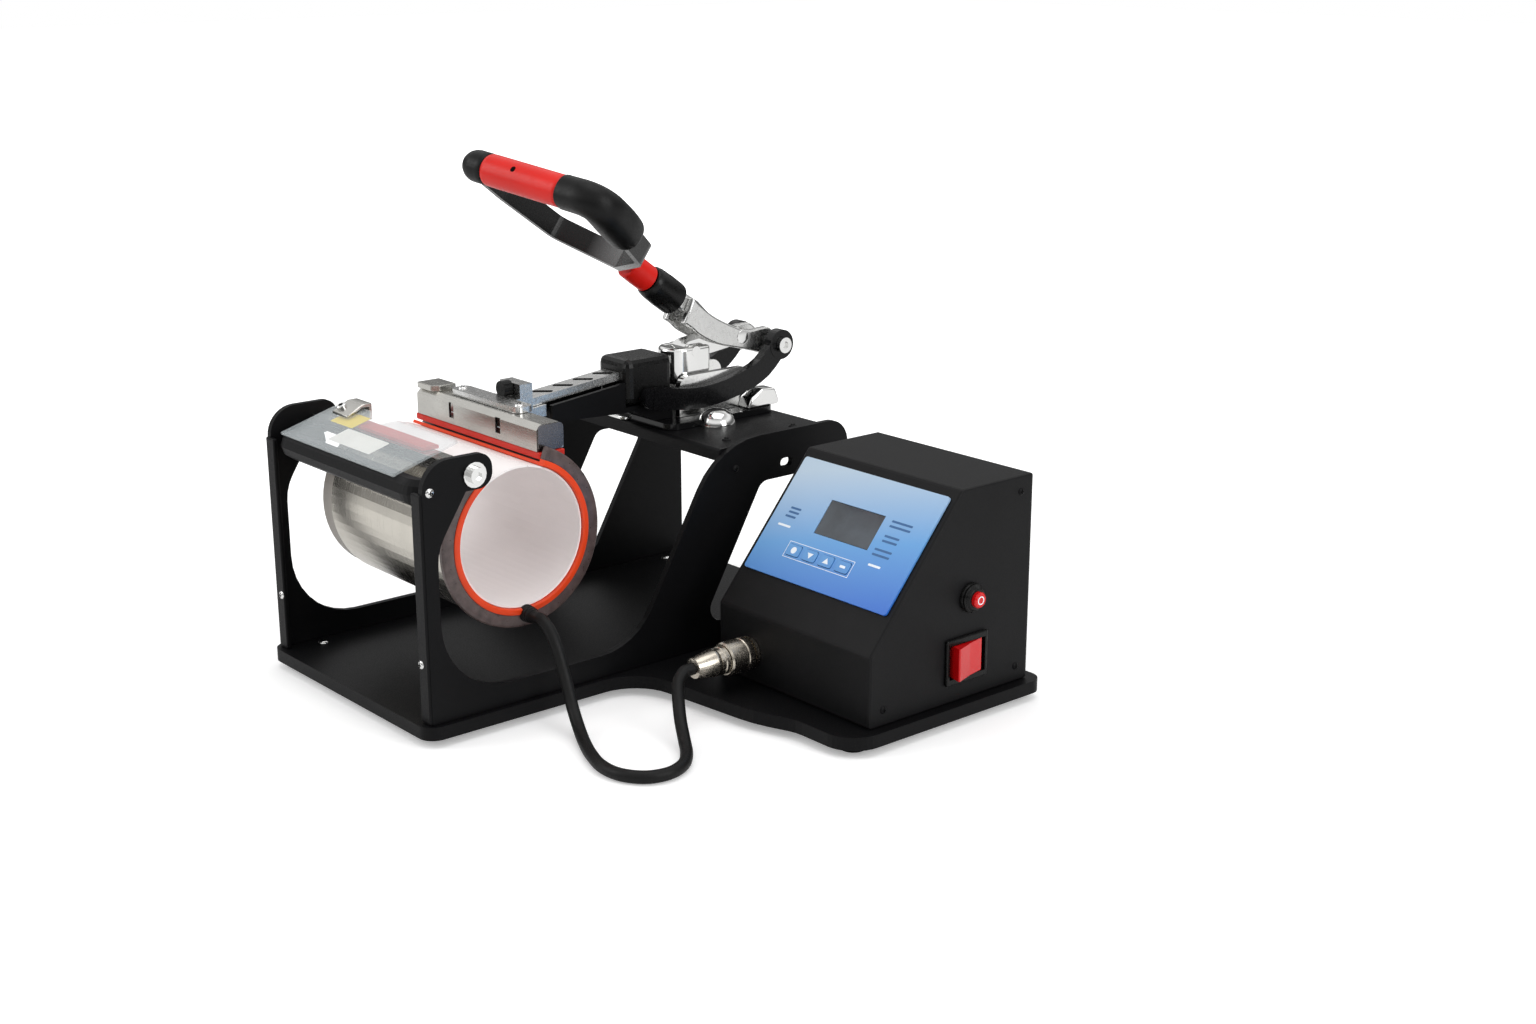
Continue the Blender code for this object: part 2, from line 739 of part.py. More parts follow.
def smooth_path(route, step):
    """Points at even steps along a smooth curve through the route's own points."""
    knots = [Vector(p) for p in route]
    ends = [2 * knots[0] - knots[1], *knots, 2 * knots[-1] - knots[-2]]
    fine = []
    for a, b, c, d in zip(ends, ends[1:], ends[2:], ends[3:]):
        for k in range(12):
            t = k / 12
            fine.append(0.5 * (2 * b + (c - a) * t + (2 * a - 5 * b + 4 * c - d) * t * t
                               + (3 * b - a - 3 * c + d) * t * t * t))
    fine.append(knots[-1])
    lengths = [0.0]
    for p, q in zip(fine, fine[1:]):
        lengths.append(lengths[-1] + (q - p).length)
    count = max(2, round(lengths[-1] / step))
    made, i = [], 0
    for k in range(count + 1):
        wanted = lengths[-1] * k / count
        while i < len(fine) - 2 and lengths[i + 1] < wanted:
            i += 1
        share = (wanted - lengths[i]) / (lengths[i + 1] - lengths[i])
        made.append(fine[i].lerp(fine[i + 1], min(share, 1.0)))
    return made, lengths[-1]


# Stand
def base_plate():
    step_x = NEAR + BASE_MARGIN
    nose = BOX_FRONT - BASE_NOSE
    corners = [
        (BASE_LEFT, BASE_FRONT, BASE_CORNER),
        (step_x, BASE_FRONT, BASE_CORNER),
        (step_x, nose - BASE_NOSE, BASE_BIG_CORNER),
        (BOX_LEFT + BOX_WIDTH / 2, nose - BASE_NOSE / 2, 3 * BASE_BIG_CORNER),
        (BOX_LEFT + BOX_WIDTH * 0.7, nose, BASE_BIG_CORNER),
        (BASE_RIGHT, nose, 2 * BASE_CORNER),
        (BASE_RIGHT, BASE_REAR, BASE_CORNER),
        (BASE_LEFT, BASE_REAR, BASE_CORNER),
    ]
    plate = slab("base", filleted(corners), BASE_TOP - BASE_HEIGHT, BASE_TOP)
    hollow = slab(
        "base_hollow", filleted(inset(corners, BASE_SHEET)),
        BASE_TOP - BASE_HEIGHT - OVERRUN, BASE_TOP - BASE_SHEET,
    )
    keep(cut(plate, hollow), "base_plate", "black_powdercoat")


def feet():
    left = BASE_LEFT + FOOT_INSET
    right = BASE_RIGHT - FOOT_INSET
    rear = BASE_REAR - FOOT_INSET
    front = BASE_FRONT + FOOT_INSET
    places = (
        (left, front), (NEAR + BASE_MARGIN - FOOT_INSET, front), (left, rear), (right, rear),
        (right, BOX_FRONT - BASE_NOSE + FOOT_INSET),
    )
    for number, (x, y) in enumerate(places, 1):
        foot = cone(
            "foot", (x, y, FLOOR), (x, y, BASE_TOP - BASE_SHEET - SEAT), FOOT_RADIUS - FOOT_TAPER, FOOT_RADIUS,
        )
        keep(foot, f"foot_{number}", "black_rubber")


def plate_outline():
    rise = REAR_TOP - SILL
    return filleted([
        (FLANGE_THICK / 2, BASE_TOP + SEAT, 0),
        (PLATE_DEPTH, BASE_TOP + SEAT, 0),
        (PLATE_DEPTH, REAR_TOP, REAR_CORNER),
        (CUT_REAR + POST_LEAN_SHARE * rise, REAR_TOP, SHOULDER_RADIUS),
        (CUT_REAR, SILL, CUT_REAR_RADIUS),
        (CUT_FRONT, SILL, CUT_FRONT_RADIUS),
        (CUT_FRONT, CUT_WAIST, CUT_WAIST_RADIUS),
        (EAR_ROOT, EAR_UNDER, 0),
        (EAR_DEPTH, EAR_UNDER, EAR_RADIUS),
        (EAR_DEPTH, POST_TOP, EAR_RADIUS),
        (FLANGE_THICK / 2, POST_TOP, POST_CORNER),
    ])


def window_outline():
    def front(z):
        return CUT_REAR + POST_WIDTH + POST_LEAN_SHARE * (z - SILL)

    return filleted([
        (front(WINDOW_SILL), WINDOW_SILL, WINDOW_RADIUS),
        (front(WINDOW_SILL) + WINDOW_WIDTH, WINDOW_SILL, WINDOW_RADIUS),
        (front(WINDOW_TOP) + WINDOW_WIDTH, WINDOW_TOP, WINDOW_RADIUS),
        (front(WINDOW_TOP), WINDOW_TOP, WINDOW_RADIUS),
    ])


def side_plate(name, outer, inwards):
    """One of the two side plates: a cut sheet with a flange turned in along its front edge."""
    low, high = sorted((outer, outer + inwards * PLATE_THICK))
    peep = rectangle(
        PEEP_Y - PEEP_LENGTH / 2, PEEP_Z - PEEP_HEIGHT / 2,
        PEEP_Y + PEEP_LENGTH / 2, PEEP_Z + PEEP_HEIGHT / 2, PEEP_HEIGHT / 2,
    )
    bolt_hole = circle((BAR_Y, BAR_Z), EAR_BOLT_RADIUS + SEAT, 16)
    plate = slab(name + "_sheet", plate_outline(), low, high, SIDE, (window_outline(), peep, bolt_hole))
    low_x, high_x = sorted((outer + inwards * SEAT, outer + inwards * FLANGE_WIDTH))
    flange = box(
        name + "_flange",
        (low_x, 0.0, BASE_TOP + SEAT), (high_x, FLANGE_THICK, POST_TOP - POST_CORNER),
    )
    round_edges(flange, EDGE)
    keep(join(plate, flange), name, "black_powdercoat")


def cross_plate():
    outline = filleted([
        (CROSS_FRONT, CROSS_TOP - CROSS_LIP, 0),
        (CROSS_FRONT + CROSS_THICK, CROSS_TOP - CROSS_LIP, 0),
        (CROSS_FRONT + CROSS_THICK, CROSS_TOP - CROSS_THICK, 0),
        (CROSS_REAR, CROSS_TOP - CROSS_THICK, 0),
        (CROSS_REAR, CROSS_TOP, 0),
        (CROSS_FRONT, CROSS_TOP, CROSS_EDGE),
    ])
    keep(slab("cross", outline, INNER_FAR + SEAT, INNER_NEAR - SEAT, SIDE), "cross_plate", "black_powdercoat")


def front_tube():
    side = TUBE_RADIUS + SEAT
    near, far = INNER_NEAR - side, INNER_FAR + side
    flat = filleted([
        (near, TUBE_END, 0), (near, TUBE_Y, TUBE_BEND), (far, TUBE_Y, TUBE_BEND), (far, TUBE_END, 0),
    ])
    path = [(x, y, TUBE_Z) for x, y in flat]
    keep(tube("tube", path, TUBE_RADIUS, 3), "front_tube", "black_powdercoat")


def clamp_bar():
    """Steel bar between the ears that the band's front end is clamped to, with a bolt at each end."""
    bar = box(
        "bar", (INNER_FAR + SEAT, BAR_Y - BAR_DEPTH / 2, BAR_Z - BAR_HEIGHT / 2),
        (INNER_NEAR - SEAT, BAR_Y + BAR_DEPTH / 2, BAR_Z + BAR_HEIGHT / 2),
    )
    length = PLATE_THICK * 3
    bores = []
    for end, inwards in ((INNER_NEAR, -1), (INNER_FAR, 1)):
        bores.append(cone(
            "bar_bore", (end - inwards * OVERRUN, BAR_Y, BAR_Z),
            (end + inwards * (length + SEAT), BAR_Y, BAR_Z), EAR_BOLT_RADIUS + SEAT, sides=16,
        ))
    keep(cut(bar, *bores), "front_clamp_bar", "stainless")
    for name, outer, outwards in (("ear_bolt_near", NEAR, 1), ("ear_bolt_far", FAR, -1)):
        washer = outer + outwards * SEAT
        head = washer + outwards * EAR_WASHER
        bolt = turned("bolt", [
            (0.0, EAR_HEAD + EAR_WASHER),
            (EAR_HEAD_RADIUS, EAR_HEAD + EAR_WASHER),
            (EAR_HEAD_RADIUS, EAR_WASHER),
            (EAR_WASHER_RADIUS, EAR_WASHER),
            (EAR_WASHER_RADIUS, 0.0),
            (EAR_BOLT_RADIUS, 0.0),
            (EAR_BOLT_RADIUS, -PLATE_THICK - length),
            (0.0, -PLATE_THICK - length),
        ], (washer, BAR_Y, BAR_Z), (outwards, 0, 0), 16)
        socket = cone(
            "bolt_socket", (head + outwards * EAR_HEAD * BOLT_SOCKET_SHARE, BAR_Y, BAR_Z),
            (head + outwards * (EAR_HEAD + OVERRUN), BAR_Y, BAR_Z), EAR_HEAD_RADIUS * BOLT_SOCKET_SHARE, sides=6,
        )
        keep(cut(bolt, socket), name, "chrome")


def front_cover():
    """Clear plate that lies on the tube and on the band's front pad."""
    slope = math.atan(COVER_SLOPE_SHARE)
    touch_y = TUBE_Y - TUBE_RADIUS * math.sin(slope)
    touch_z = TUBE_Z + TUBE_RADIUS * math.cos(slope) + SEAT + COVER_THICK / 2

    def middle(y):
        return (y, touch_z + COVER_SLOPE_SHARE * (y - touch_y))

    path = [middle(COVER_FRONT), middle(COVER_REAR)]
    plate = slab(
        "cover", ribbon(path, COVER_THICK), INNER_FAR + COVER_FAR_GAP, INNER_NEAR - COVER_NEAR_GAP, SIDE,
    )
    keep(plate, "front_cover", "clear_cover")


# Heater band
def rear_angle(radius):
    """Where a layer of the band ends under the pressed pad."""
    height = PAD_BOTTOM - SEAT - BAND_Z
    under = math.acos(min(1.0, height / radius))
    return max(under, math.asin((PAD_FRONT + SEAT - BAND_Y) / radius))


def band_layer(name, inner, thickness, material_name, near, far):
    outer = inner + thickness
    start = rear_angle(outer)
    path = ring_points(inner + thickness / 2, start, 2 * math.pi - FRONT_OPENING)
    return slab(name, ribbon(path, thickness), far, near, SIDE), material_name


def heater_band():
    near, far = -BAND_NEAR, BAND_FAR
    radius = MUG_RADIUS
    path = ring_points(
        radius + LINER_THICK / 2, FLAP_ANGLE + SLIT_HALF, 2 * math.pi + FLAP_ANGLE - SLIT_HALF,
    )
    keep(slab("liner", ribbon(path, LINER_THICK), far, near, SIDE), "band_liner", "white_liner")
    radius += LINER_THICK + SEAT
    layers = (
        ("heater_mat", MAT_THICK, "orange_silicone"),
        ("band_sponge", SPONGE_THICK, "sponge"),
        ("band_jacket", JACKET_THICK, "red_silicone"),
    )
    for name, thickness, material_name in layers:
        layer, material_name = band_layer(name, radius, thickness, material_name, near, far)
        keep(layer, name, material_name)
        radius += thickness + SEAT
    steel_shell(radius)


def steel_shell(inner):
    """The stainless jacket, whose front end runs straight up to the clamp bar."""
    middle = inner + SHELL_THICK / 2
    arc = ring_points(middle, rear_angle(inner + SHELL_THICK), 2 * math.pi - FRONT_OPENING)
    tip = (BAR_Y + BAR_DEPTH / 2 + SEAT + SHELL_THICK / 2, BAR_Z)
    top = (tip[0], BAR_Z + BAR_HEIGHT / 2)
    outline = ribbon(arc + [tip, top], SHELL_THICK)
    shell = slab("shell", outline, BAND_FAR + SHELL_FAR_INSET, -BAND_NEAR - SHELL_NEAR_INSET, SIDE)
    keep(shell, "band_shell", "stainless")


def front_pad():
    """Folded end of the silicone, held on top of the clamp bar."""
    low = BAR_Z + BAR_HEIGHT / 2 + SEAT
    front = BAR_Y - BAR_DEPTH / 2 + FRONT_PAD_INSET
    pad = box(
        "pad", (MIDDLE - FRONT_PAD_LENGTH / 2, front, low),
        (MIDDLE + FRONT_PAD_LENGTH / 2, front + FRONT_PAD_DEPTH, low + FRONT_PAD_THICK),
    )
    keep(pad, "front_pad", "red_silicone")


def gland_height():
    return BAND_Z - MUG_RADIUS - LINER_THICK - MAT_THICK - SPONGE_THICK / 2


def cable_gland():
    x, y, z = CABLE_ROUTE[0]
    face = -BAND_NEAR + SEAT
    gland = turned("gland", [
        (0.0, x - face - SEAT),
        (GLAND_RADIUS - GLAND_TAPER, x - face - SEAT),
        (GLAND_RADIUS, 0.0),
        (0.0, 0.0),
    ], (face, y, z), (1, 0, 0), 20)
    keep(gland, "cable_gland", "black_rubber")


# Plunger, in the slide's direction
def bar_top(y):
    return SLIDE_TOP + SLIDE_RISE_SHARE * (y - SLIDE_TOP_Y)


def plunger():
    slide = empty("plunger_slide", (MIDDLE, CHANNEL_REAR, CHANNEL_TOP), origin)
    pad = box(
        "pad", (MIDDLE - PAD_LENGTH / 2, PAD_FRONT, PAD_BOTTOM),
        (MIDDLE + PAD_LENGTH / 2, PAD_FRONT + PAD_DEPTH, PAD_BOTTOM + PAD_THICK),
    )
    keep(round_edges(pad, EDGE), "pressed_pad", "red_silicone", slide)
    channel(slide)
    yoke(slide)
    slide_bar(slide)
    plunger_block(slide)
    return slide


def channel(slide):
    half = CHANNEL_WALL / 2
    front, rear = PAD_FRONT + half, CHANNEL_REAR - half
    top = CHANNEL_TOP - half
    bend = CHANNEL_BEND
    path = [
        (front, CHANNEL_BOTTOM), (front, top - bend), (front + bend, top), (rear - bend, top),
        (rear, top - bend), (rear, CHANNEL_BOTTOM),
    ]
    made = slab(
        "channel", ribbon(path, CHANNEL_WALL), MIDDLE - CHANNEL_LENGTH / 2, MIDDLE + CHANNEL_LENGTH / 2, SIDE,
    )
    notches = []
    for share in NOTCH_PLACES_SHARES:
        x = MIDDLE + share * CHANNEL_LENGTH
        notches.append(box(
            "notch", (x - NOTCH_WIDTH / 2, PAD_FRONT - OVERRUN, CHANNEL_TOP - bend - NOTCH_HEIGHT),
            (x + NOTCH_WIDTH / 2, PAD_FRONT + CHANNEL_WALL + OVERRUN, CHANNEL_TOP - bend),
        ))
    keep(cut(made, *notches), "pusher_channel", "stainless", slide)


def yoke(slide):
    """T-shaped casting that joins the channel to the slide bar and carries the pressure screw."""
    low = CHANNEL_TOP + SEAT
    behind = CHANNEL_REAR + SEAT
    boss_front = behind + KNOB_LENGTH + RUNNING
    boss_rear = boss_front + YOKE_BOSS
    arm_front = CHANNEL_REAR - YOKE_ARM_DEPTH
    web = low + YOKE_WEB
    outline = [
        (arm_front + YOKE_ARM_THICK, low + EDGE),
        (behind, low + EDGE),
        (behind, YOKE_BOTTOM),
        (YOKE_REAR, YOKE_BOTTOM),
        (YOKE_REAR, bar_top(YOKE_REAR) - SLIDE_THICK - SEAT),
        (boss_rear, bar_top(boss_rear) - SLIDE_THICK - SEAT),
        (boss_rear, low + YOKE_BOSS_RISE),
        (boss_front, low + YOKE_BOSS_RISE),
        (boss_front, web),
        (arm_front + YOKE_ARM_THICK, web),
    ]
    body = slab("yoke", outline, MIDDLE - YOKE_HALF, MIDDLE + YOKE_HALF, SIDE)
    arms = slab("yoke_arms", rectangle(
        MIDDLE - YOKE_ARM_HALF, arm_front, MIDDLE + YOKE_ARM_HALF, CHANNEL_REAR, YOKE_ARM_DEPTH / 3,
    ), low, low + YOKE_ARM_THICK)
    bore = cone(
        "screw_bore", (MIDDLE, boss_front - OVERRUN, knob_height()),
        (MIDDLE, boss_rear + OVERRUN, knob_height()), KNOB_SHAFT + SEAT, sides=16,
    )
    keep(cut(join(body, arms), bore), "yoke", "cast_alloy", slide)


def knob_height():
    return CHANNEL_TOP + SEAT + YOKE_WEB + SEAT + KNOB_RADIUS


def pressure_knob(slide):
    """Knurled head of the screw that sets the closing pressure. It turns about the slide's direction."""
    start = CHANNEL_REAR + SEAT
    turner = empty("pressure_knob_axis", (0, 0, 0), slide)
    knob = turned("knob", [
        (0.0, KNOB_LENGTH + RUNNING + YOKE_BOSS),
        (KNOB_SHAFT, KNOB_LENGTH + RUNNING + YOKE_BOSS),
        (KNOB_SHAFT, KNOB_LENGTH),
        (KNOB_RADIUS, KNOB_LENGTH),
        (KNOB_RADIUS, 0.0),
        (0.0, 0.0),
    ], (MIDDLE, start, knob_height()), (0, 1, 0), 24)
    keep(knob, "pressure_knob", "black_powdercoat", turner)


def slide_bar(slide):
    start = YOKE_REAR - YOKE_TAIL + SEAT
    end = BLOCK_FRONT - SEAT
    outline = [
        (start, bar_top(start) - SLIDE_THICK), (end, bar_top(end) - SLIDE_THICK),
        (end, bar_top(end)), (start, bar_top(start)),
    ]
    made = slab("bar", outline, MIDDLE - BAR_HALF_WIDTH, MIDDLE + BAR_HALF_WIDTH, SIDE)
    slots = []
    for k in range(SLOT_COUNT):
        slot = box(
            "bar_slot", (-SLOT_LENGTH / 2, -SLOT_WIDTH / 2, -SLIDE_THICK - OVERRUN),
            (SLOT_LENGTH / 2, SLOT_WIDTH / 2, SLIDE_THICK + OVERRUN),
        )
        y = SLOT_FIRST + k * SLOT_PITCH
        slot.matrix_world = Matrix.Translation((MIDDLE, y, bar_top(y))) @ Matrix.Rotation(SLOT_ANGLE, 4, "Z")
        slots.append(slot)
    keep(cut(made, *slots), "slide_bar", "chrome", slide)


def plunger_block(slide):
    """Knuckle at the slide bar's rear end, forked round the toggle link."""
    back = LINK_PIN_Y + BLOCK_BACK_MARGIN
    outline = filleted([
        (BLOCK_FRONT, BLOCK_BOTTOM, BLOCK_CORNER / 2),
        (LINK_PIN_Y, BLOCK_BOTTOM, BLOCK_CORNER / 2),
        (back, LINK_PIN_Z - LINK_HEIGHT / 2, BLOCK_CORNER),
        (back, BLOCK_TOP, BLOCK_CORNER),
        (BLOCK_FRONT, BLOCK_TOP, BLOCK_CORNER),
    ])
    block = slab("block", outline, MIDDLE - CHEEK_OUT, MIDDLE + CHEEK_OUT, SIDE)
    fork = box(
        "fork", (MIDDLE - CHEEK_IN, LINK_PIN_Y - FORK_FRONT, BLOCK_BOTTOM - OVERRUN),
        (MIDDLE + CHEEK_IN, back + OVERRUN, BLOCK_TOP + OVERRUN),
    )
    bore = cone(
        "block_bore", (MIDDLE - CHEEK_OUT - OVERRUN, LINK_PIN_Y, LINK_PIN_Z),
        (MIDDLE + CHEEK_OUT + OVERRUN, LINK_PIN_Y, LINK_PIN_Z), PIN_RADIUS + SEAT, sides=20,
    )
    keep(cut(block, fork, bore), "plunger_block", "chrome", slide)
    pin = cone(
        "pin", (MIDDLE - CHEEK_OUT, LINK_PIN_Y, LINK_PIN_Z), (MIDDLE + CHEEK_OUT, LINK_PIN_Y, LINK_PIN_Z),
        PIN_RADIUS, sides=20,
    )
    keep(pin, "link_pin", "chrome", slide)


def toggle_link(slide):
    hinge = empty("toggle_link_pivot", (0, 0, 0), slide)
    start, end = (LINK_PIN_Y, LINK_PIN_Z), (CRANK_PIN_Y, CRANK_PIN_Z)
    link = slab(
        "link", capsule(start, end, LINK_HEIGHT / 2), MIDDLE - LINK_HALF, MIDDLE + LINK_HALF, SIDE,
        (circle(start, PIN_RADIUS + SEAT, 20), circle(end, PIN_RADIUS, 20)),
    )
    keep(link, "toggle_link", "chrome", hinge)


# Guide and toggle frame
def guide_arm():
    """Black channel under the slide bar, standing on the bracket's foot."""
    foot = CROSS_TOP + SEAT + FOOT_PLATE_THICK + SEAT
    tongue = SLEEVE_BOTTOM - SEAT
    front, rear = SLEEVE_FRONT - SEAT, SLEEVE_FRONT + SLEEVE_LENGTH
    bottom = ARM_FLOOR - ARM_FLOOR_THICK
    outline = [
        (ARM_FRONT, bottom), (ARM_KNEE, bottom - ARM_FLOOR_THICK), (FOOT_PLATE_FRONT, foot),
        (rear, foot), (rear, tongue), (front, tongue), (front, bar_top(front) - ARM_DROP),
        (ARM_FRONT, bar_top(ARM_FRONT) - ARM_DROP),
    ]
    inner = YOKE_HALF + RUNNING
    arm = slab("arm", outline, MIDDLE - inner - ARM_WALL, MIDDLE + inner + ARM_WALL, SIDE)
    trough = box(
        "trough", (MIDDLE - inner, ARM_FRONT - OVERRUN, ARM_FLOOR),
        (MIDDLE + inner, front + OVERRUN, bar_top(front) + OVERRUN),
    )
    keep(cut(arm, trough), "guide_arm", "black_powdercoat")


def guide_sleeve():
    rear = SLEEVE_FRONT + SLEEVE_LENGTH - SEAT
    body = box(
        "sleeve", (MIDDLE - SLEEVE_HALF, SLEEVE_FRONT, SLEEVE_BOTTOM), (MIDDLE + SLEEVE_HALF, rear, SLEEVE_TOP),
    )
    round_edges(body, SLEEVE_EDGE, 3)
    low, high = SLEEVE_FRONT - OVERRUN, rear + OVERRUN
    bore = slab("sleeve_bore", [
        (low, bar_top(low) - SLIDE_THICK - SEAT), (high, bar_top(high) - SLIDE_THICK - SEAT),
        (high, bar_top(high) + SEAT), (low, bar_top(low) + SEAT),
    ], MIDDLE - BAR_HALF_WIDTH - SEAT, MIDDLE + BAR_HALF_WIDTH + SEAT, SIDE)
    keep(cut(body, bore), "guide_sleeve", "black_plastic")


def toggle_bracket():
    low = CROSS_TOP + SEAT
    top = low + FOOT_PLATE_THICK
    foot = slab("bracket", rectangle(
        MIDDLE - FOOT_PLATE_HALF, FOOT_PLATE_FRONT, MIDDLE + FOOT_PLATE_HALF, FOOT_PLATE_REAR, FOOT_PLATE_CORNER,
    ), low, top)
    wall = filleted([
        (WALL_FRONT, low + FOOT_PLATE_THICK / 2, 0), (WALL_REAR, low + FOOT_PLATE_THICK / 2, 0),
        (WALL_REAR, WALL_TOP, WALL_CORNER), (WALL_FRONT, WALL_TOP, WALL_CORNER),
    ])
    for side in (-1, 1):
        low_x, high_x = sorted((MIDDLE + side * WALL_IN, MIDDLE + side * WALL_OUT))
        join(foot, slab("bracket_wall", wall, low_x, high_x, SIDE))
    keep(foot, "toggle_bracket", "chrome")


def link_arm_path():
    return (
        (LINK_ARM_FRONT, LINK_ARM_Z),
        (LINK_ARM_FRONT + (LINK_ARM_REAR - LINK_ARM_FRONT) / 2, LINK_ARM_SAG),
        (LINK_ARM_REAR, LINK_ARM_SAG + (PIVOT_Z - LINK_ARM_SAG) / 3),
        (PIVOT_Y, PIVOT_Z),
    )


def link_arms():
    """Curved black arms bolted outside the bracket, which hold the lever's pivot."""
    route = [(0.0, y, z) for y, z in link_arm_path()]
    smooth, _ = smooth_path(route, LINK_ARM_HEIGHT / 2)
    strip = ribbon([(p.y, p.z) for p in smooth[:-1]], LINK_ARM_HEIGHT)
    for name, side in (("link_arm_near", 1), ("link_arm_far", -1)):
        low, high = sorted((MIDDLE + side * ARM_IN, MIDDLE + side * ARM_OUT))
        arm = slab(name + "_strip", strip, low, high, SIDE)
        hub = cone(
            name + "_hub", (low - SEAT, PIVOT_Y, PIVOT_Z), (high + SEAT, PIVOT_Y, PIVOT_Z), HUB_RADIUS, sides=32,
        )
        nose = cone(
            name + "_nose", (low + SEAT, LINK_ARM_FRONT, LINK_ARM_Z), (high - SEAT, LINK_ARM_FRONT, LINK_ARM_Z),
            LINK_ARM_HEIGHT / 2, sides=20,
        )
        bore = cone(
            name + "_bore", (low - OVERRUN, PIVOT_Y, PIVOT_Z), (high + OVERRUN, PIVOT_Y, PIVOT_Z),
            PIVOT_RADIUS + SEAT, sides=20,
        )
        keep(cut(join(arm, hub, nose), bore), name, "black_powdercoat")


def pivot_bolt():
    end = ARM_OUT + 2 * SEAT
    length = 2 * end
    bolt = turned("pivot", [
        (0.0, length + PIVOT_HEAD),
        (PIVOT_HEAD_RADIUS, length + PIVOT_HEAD),
        (PIVOT_HEAD_RADIUS, length),
        (PIVOT_RADIUS, length),
        (PIVOT_RADIUS, 0.0),
        (PIVOT_HEAD_RADIUS, 0.0),
        (PIVOT_HEAD_RADIUS, -PIVOT_HEAD),
        (0.0, -PIVOT_HEAD),
    ], (MIDDLE - end, PIVOT_Y, PIVOT_Z), (1, 0, 0), 20)
    socket = cone(
        "pivot_socket", (MIDDLE + end + PIVOT_HEAD * BOLT_SOCKET_SHARE, PIVOT_Y, PIVOT_Z),
        (MIDDLE + end + PIVOT_HEAD + OVERRUN, PIVOT_Y, PIVOT_Z), PIVOT_HEAD_RADIUS * BOLT_SOCKET_SHARE, sides=6,
    )
    keep(cut(bolt, socket), "pivot_bolt", "chrome")


# Lever and handle, along a line that rises to the front from the heel
def on_lever(distance, across=0.0):
    """World place of a point at a distance along the lever's line and an offset along X."""
    return Vector((
        MIDDLE + across,
        HEEL_Y - distance * math.cos(LEVER_ANGLE),
        HEEL_Z + distance * math.sin(LEVER_ANGLE),
    ))


def lever_side(distance, offset):
    """Y and Z of a point beside the lever's line."""
    return (
        HEEL_Y - distance * math.cos(LEVER_ANGLE) + offset * math.sin(LEVER_ANGLE),
        HEEL_Z + distance * math.sin(LEVER_ANGLE) + offset * math.cos(LEVER_ANGLE),
    )


def lever():
    hinge = empty("lever_pivot", (MIDDLE, PIVOT_Y, PIVOT_Z), origin)
    lever_arm(hinge)
    start = FERRULE_START
    pieces = (
        ("lever_ferrule", FERRULE_LENGTH, FERRULE_RADIUS, "black_plastic"),
        ("lever_collar", COLLAR_LENGTH, COLLAR_RADIUS, "red_grip"),
    )
    for name, length, radius, material_name in pieces:
        piece = cone(name, on_lever(start), on_lever(start + length - SEAT), radius, sides=28)
        round_edges(piece, EDGE)
        bore = cone("stem_bore", on_lever(start - OVERRUN), on_lever(start + length + OVERRUN), STEM_RADIUS + SEAT)
        keep(cut(piece, bore), name, material_name, hinge)
        start += length
    grips(hinge)


def lever_arm(hinge):
    """Forged arm: two cheeks round the toggle link, which close into one neck."""
    half = NECK_HEIGHT / 2
    cheek = filleted([
        (PIVOT_Y, PIVOT_Z - HUB_RADIUS + SEAT, HUB_RADIUS / 2),
        (PIVOT_Y + HUB_RADIUS - SEAT, PIVOT_Z, HUB_RADIUS),
        (PIVOT_Y, PIVOT_Z + HUB_RADIUS - SEAT, HUB_RADIUS),
        lever_side(0.0, half) + (half,),
        lever_side(FERRULE_START - SEAT, half) + (0,),
        lever_side(FERRULE_START - SEAT, -half) + (0,),
        lever_side(0.0, -half) + (half,),
        (CRANK_PIN_Y, CRANK_PIN_Z - CHEEK_NECK, CHEEK_NECK / 2),
    ])
    arm = slab("lever", cheek, MIDDLE - CHEEK_OUT, MIDDLE + CHEEK_OUT, SIDE)
    slot = box(
        "lever_slot", (MIDDLE - CHEEK_IN, HEEL_Y + FORK_START, PIVOT_Z - 2 * HUB_RADIUS),
        (MIDDLE + CHEEK_IN, PIVOT_Y + 2 * HUB_RADIUS, PIVOT_Z + 3 * HUB_RADIUS),
    )
    trims = []
    front, neck, root = HEEL_Y - FERRULE_START - half, HEEL_Y - NECK_TAPER / 4, HEEL_Y + NECK_TAPER
    for side in (-1, 1):
        inner, flare, outer = (MIDDLE + side * reach for reach in (NECK_HALF, CHEEK_OUT + SEAT, CHEEK_OUT + OVERRUN))
        trim = [(inner, front), (inner, neck), (flare, root), (outer, root), (outer, front)]
        trims.append(slab(
            "neck_trim", trim[::side], PIVOT_Z - 2 * HUB_RADIUS, HEEL_Z + FERRULE_START + 2 * half,
        ))
    bore = cone(
        "lever_bore", (MIDDLE - CHEEK_OUT - OVERRUN, PIVOT_Y, PIVOT_Z),
        (MIDDLE + CHEEK_OUT + OVERRUN, PIVOT_Y, PIVOT_Z), PIVOT_RADIUS + SEAT, sides=20,
    )
    stem = cone(
        "lever_stem", on_lever(FERRULE_START - NECK_HEIGHT / 2), on_lever(LOOP_START - SEAT), STEM_RADIUS,
    )
    keep(join(cut(arm, slot, *trims, bore), stem), "lever_arm", "cast_alloy", hinge)


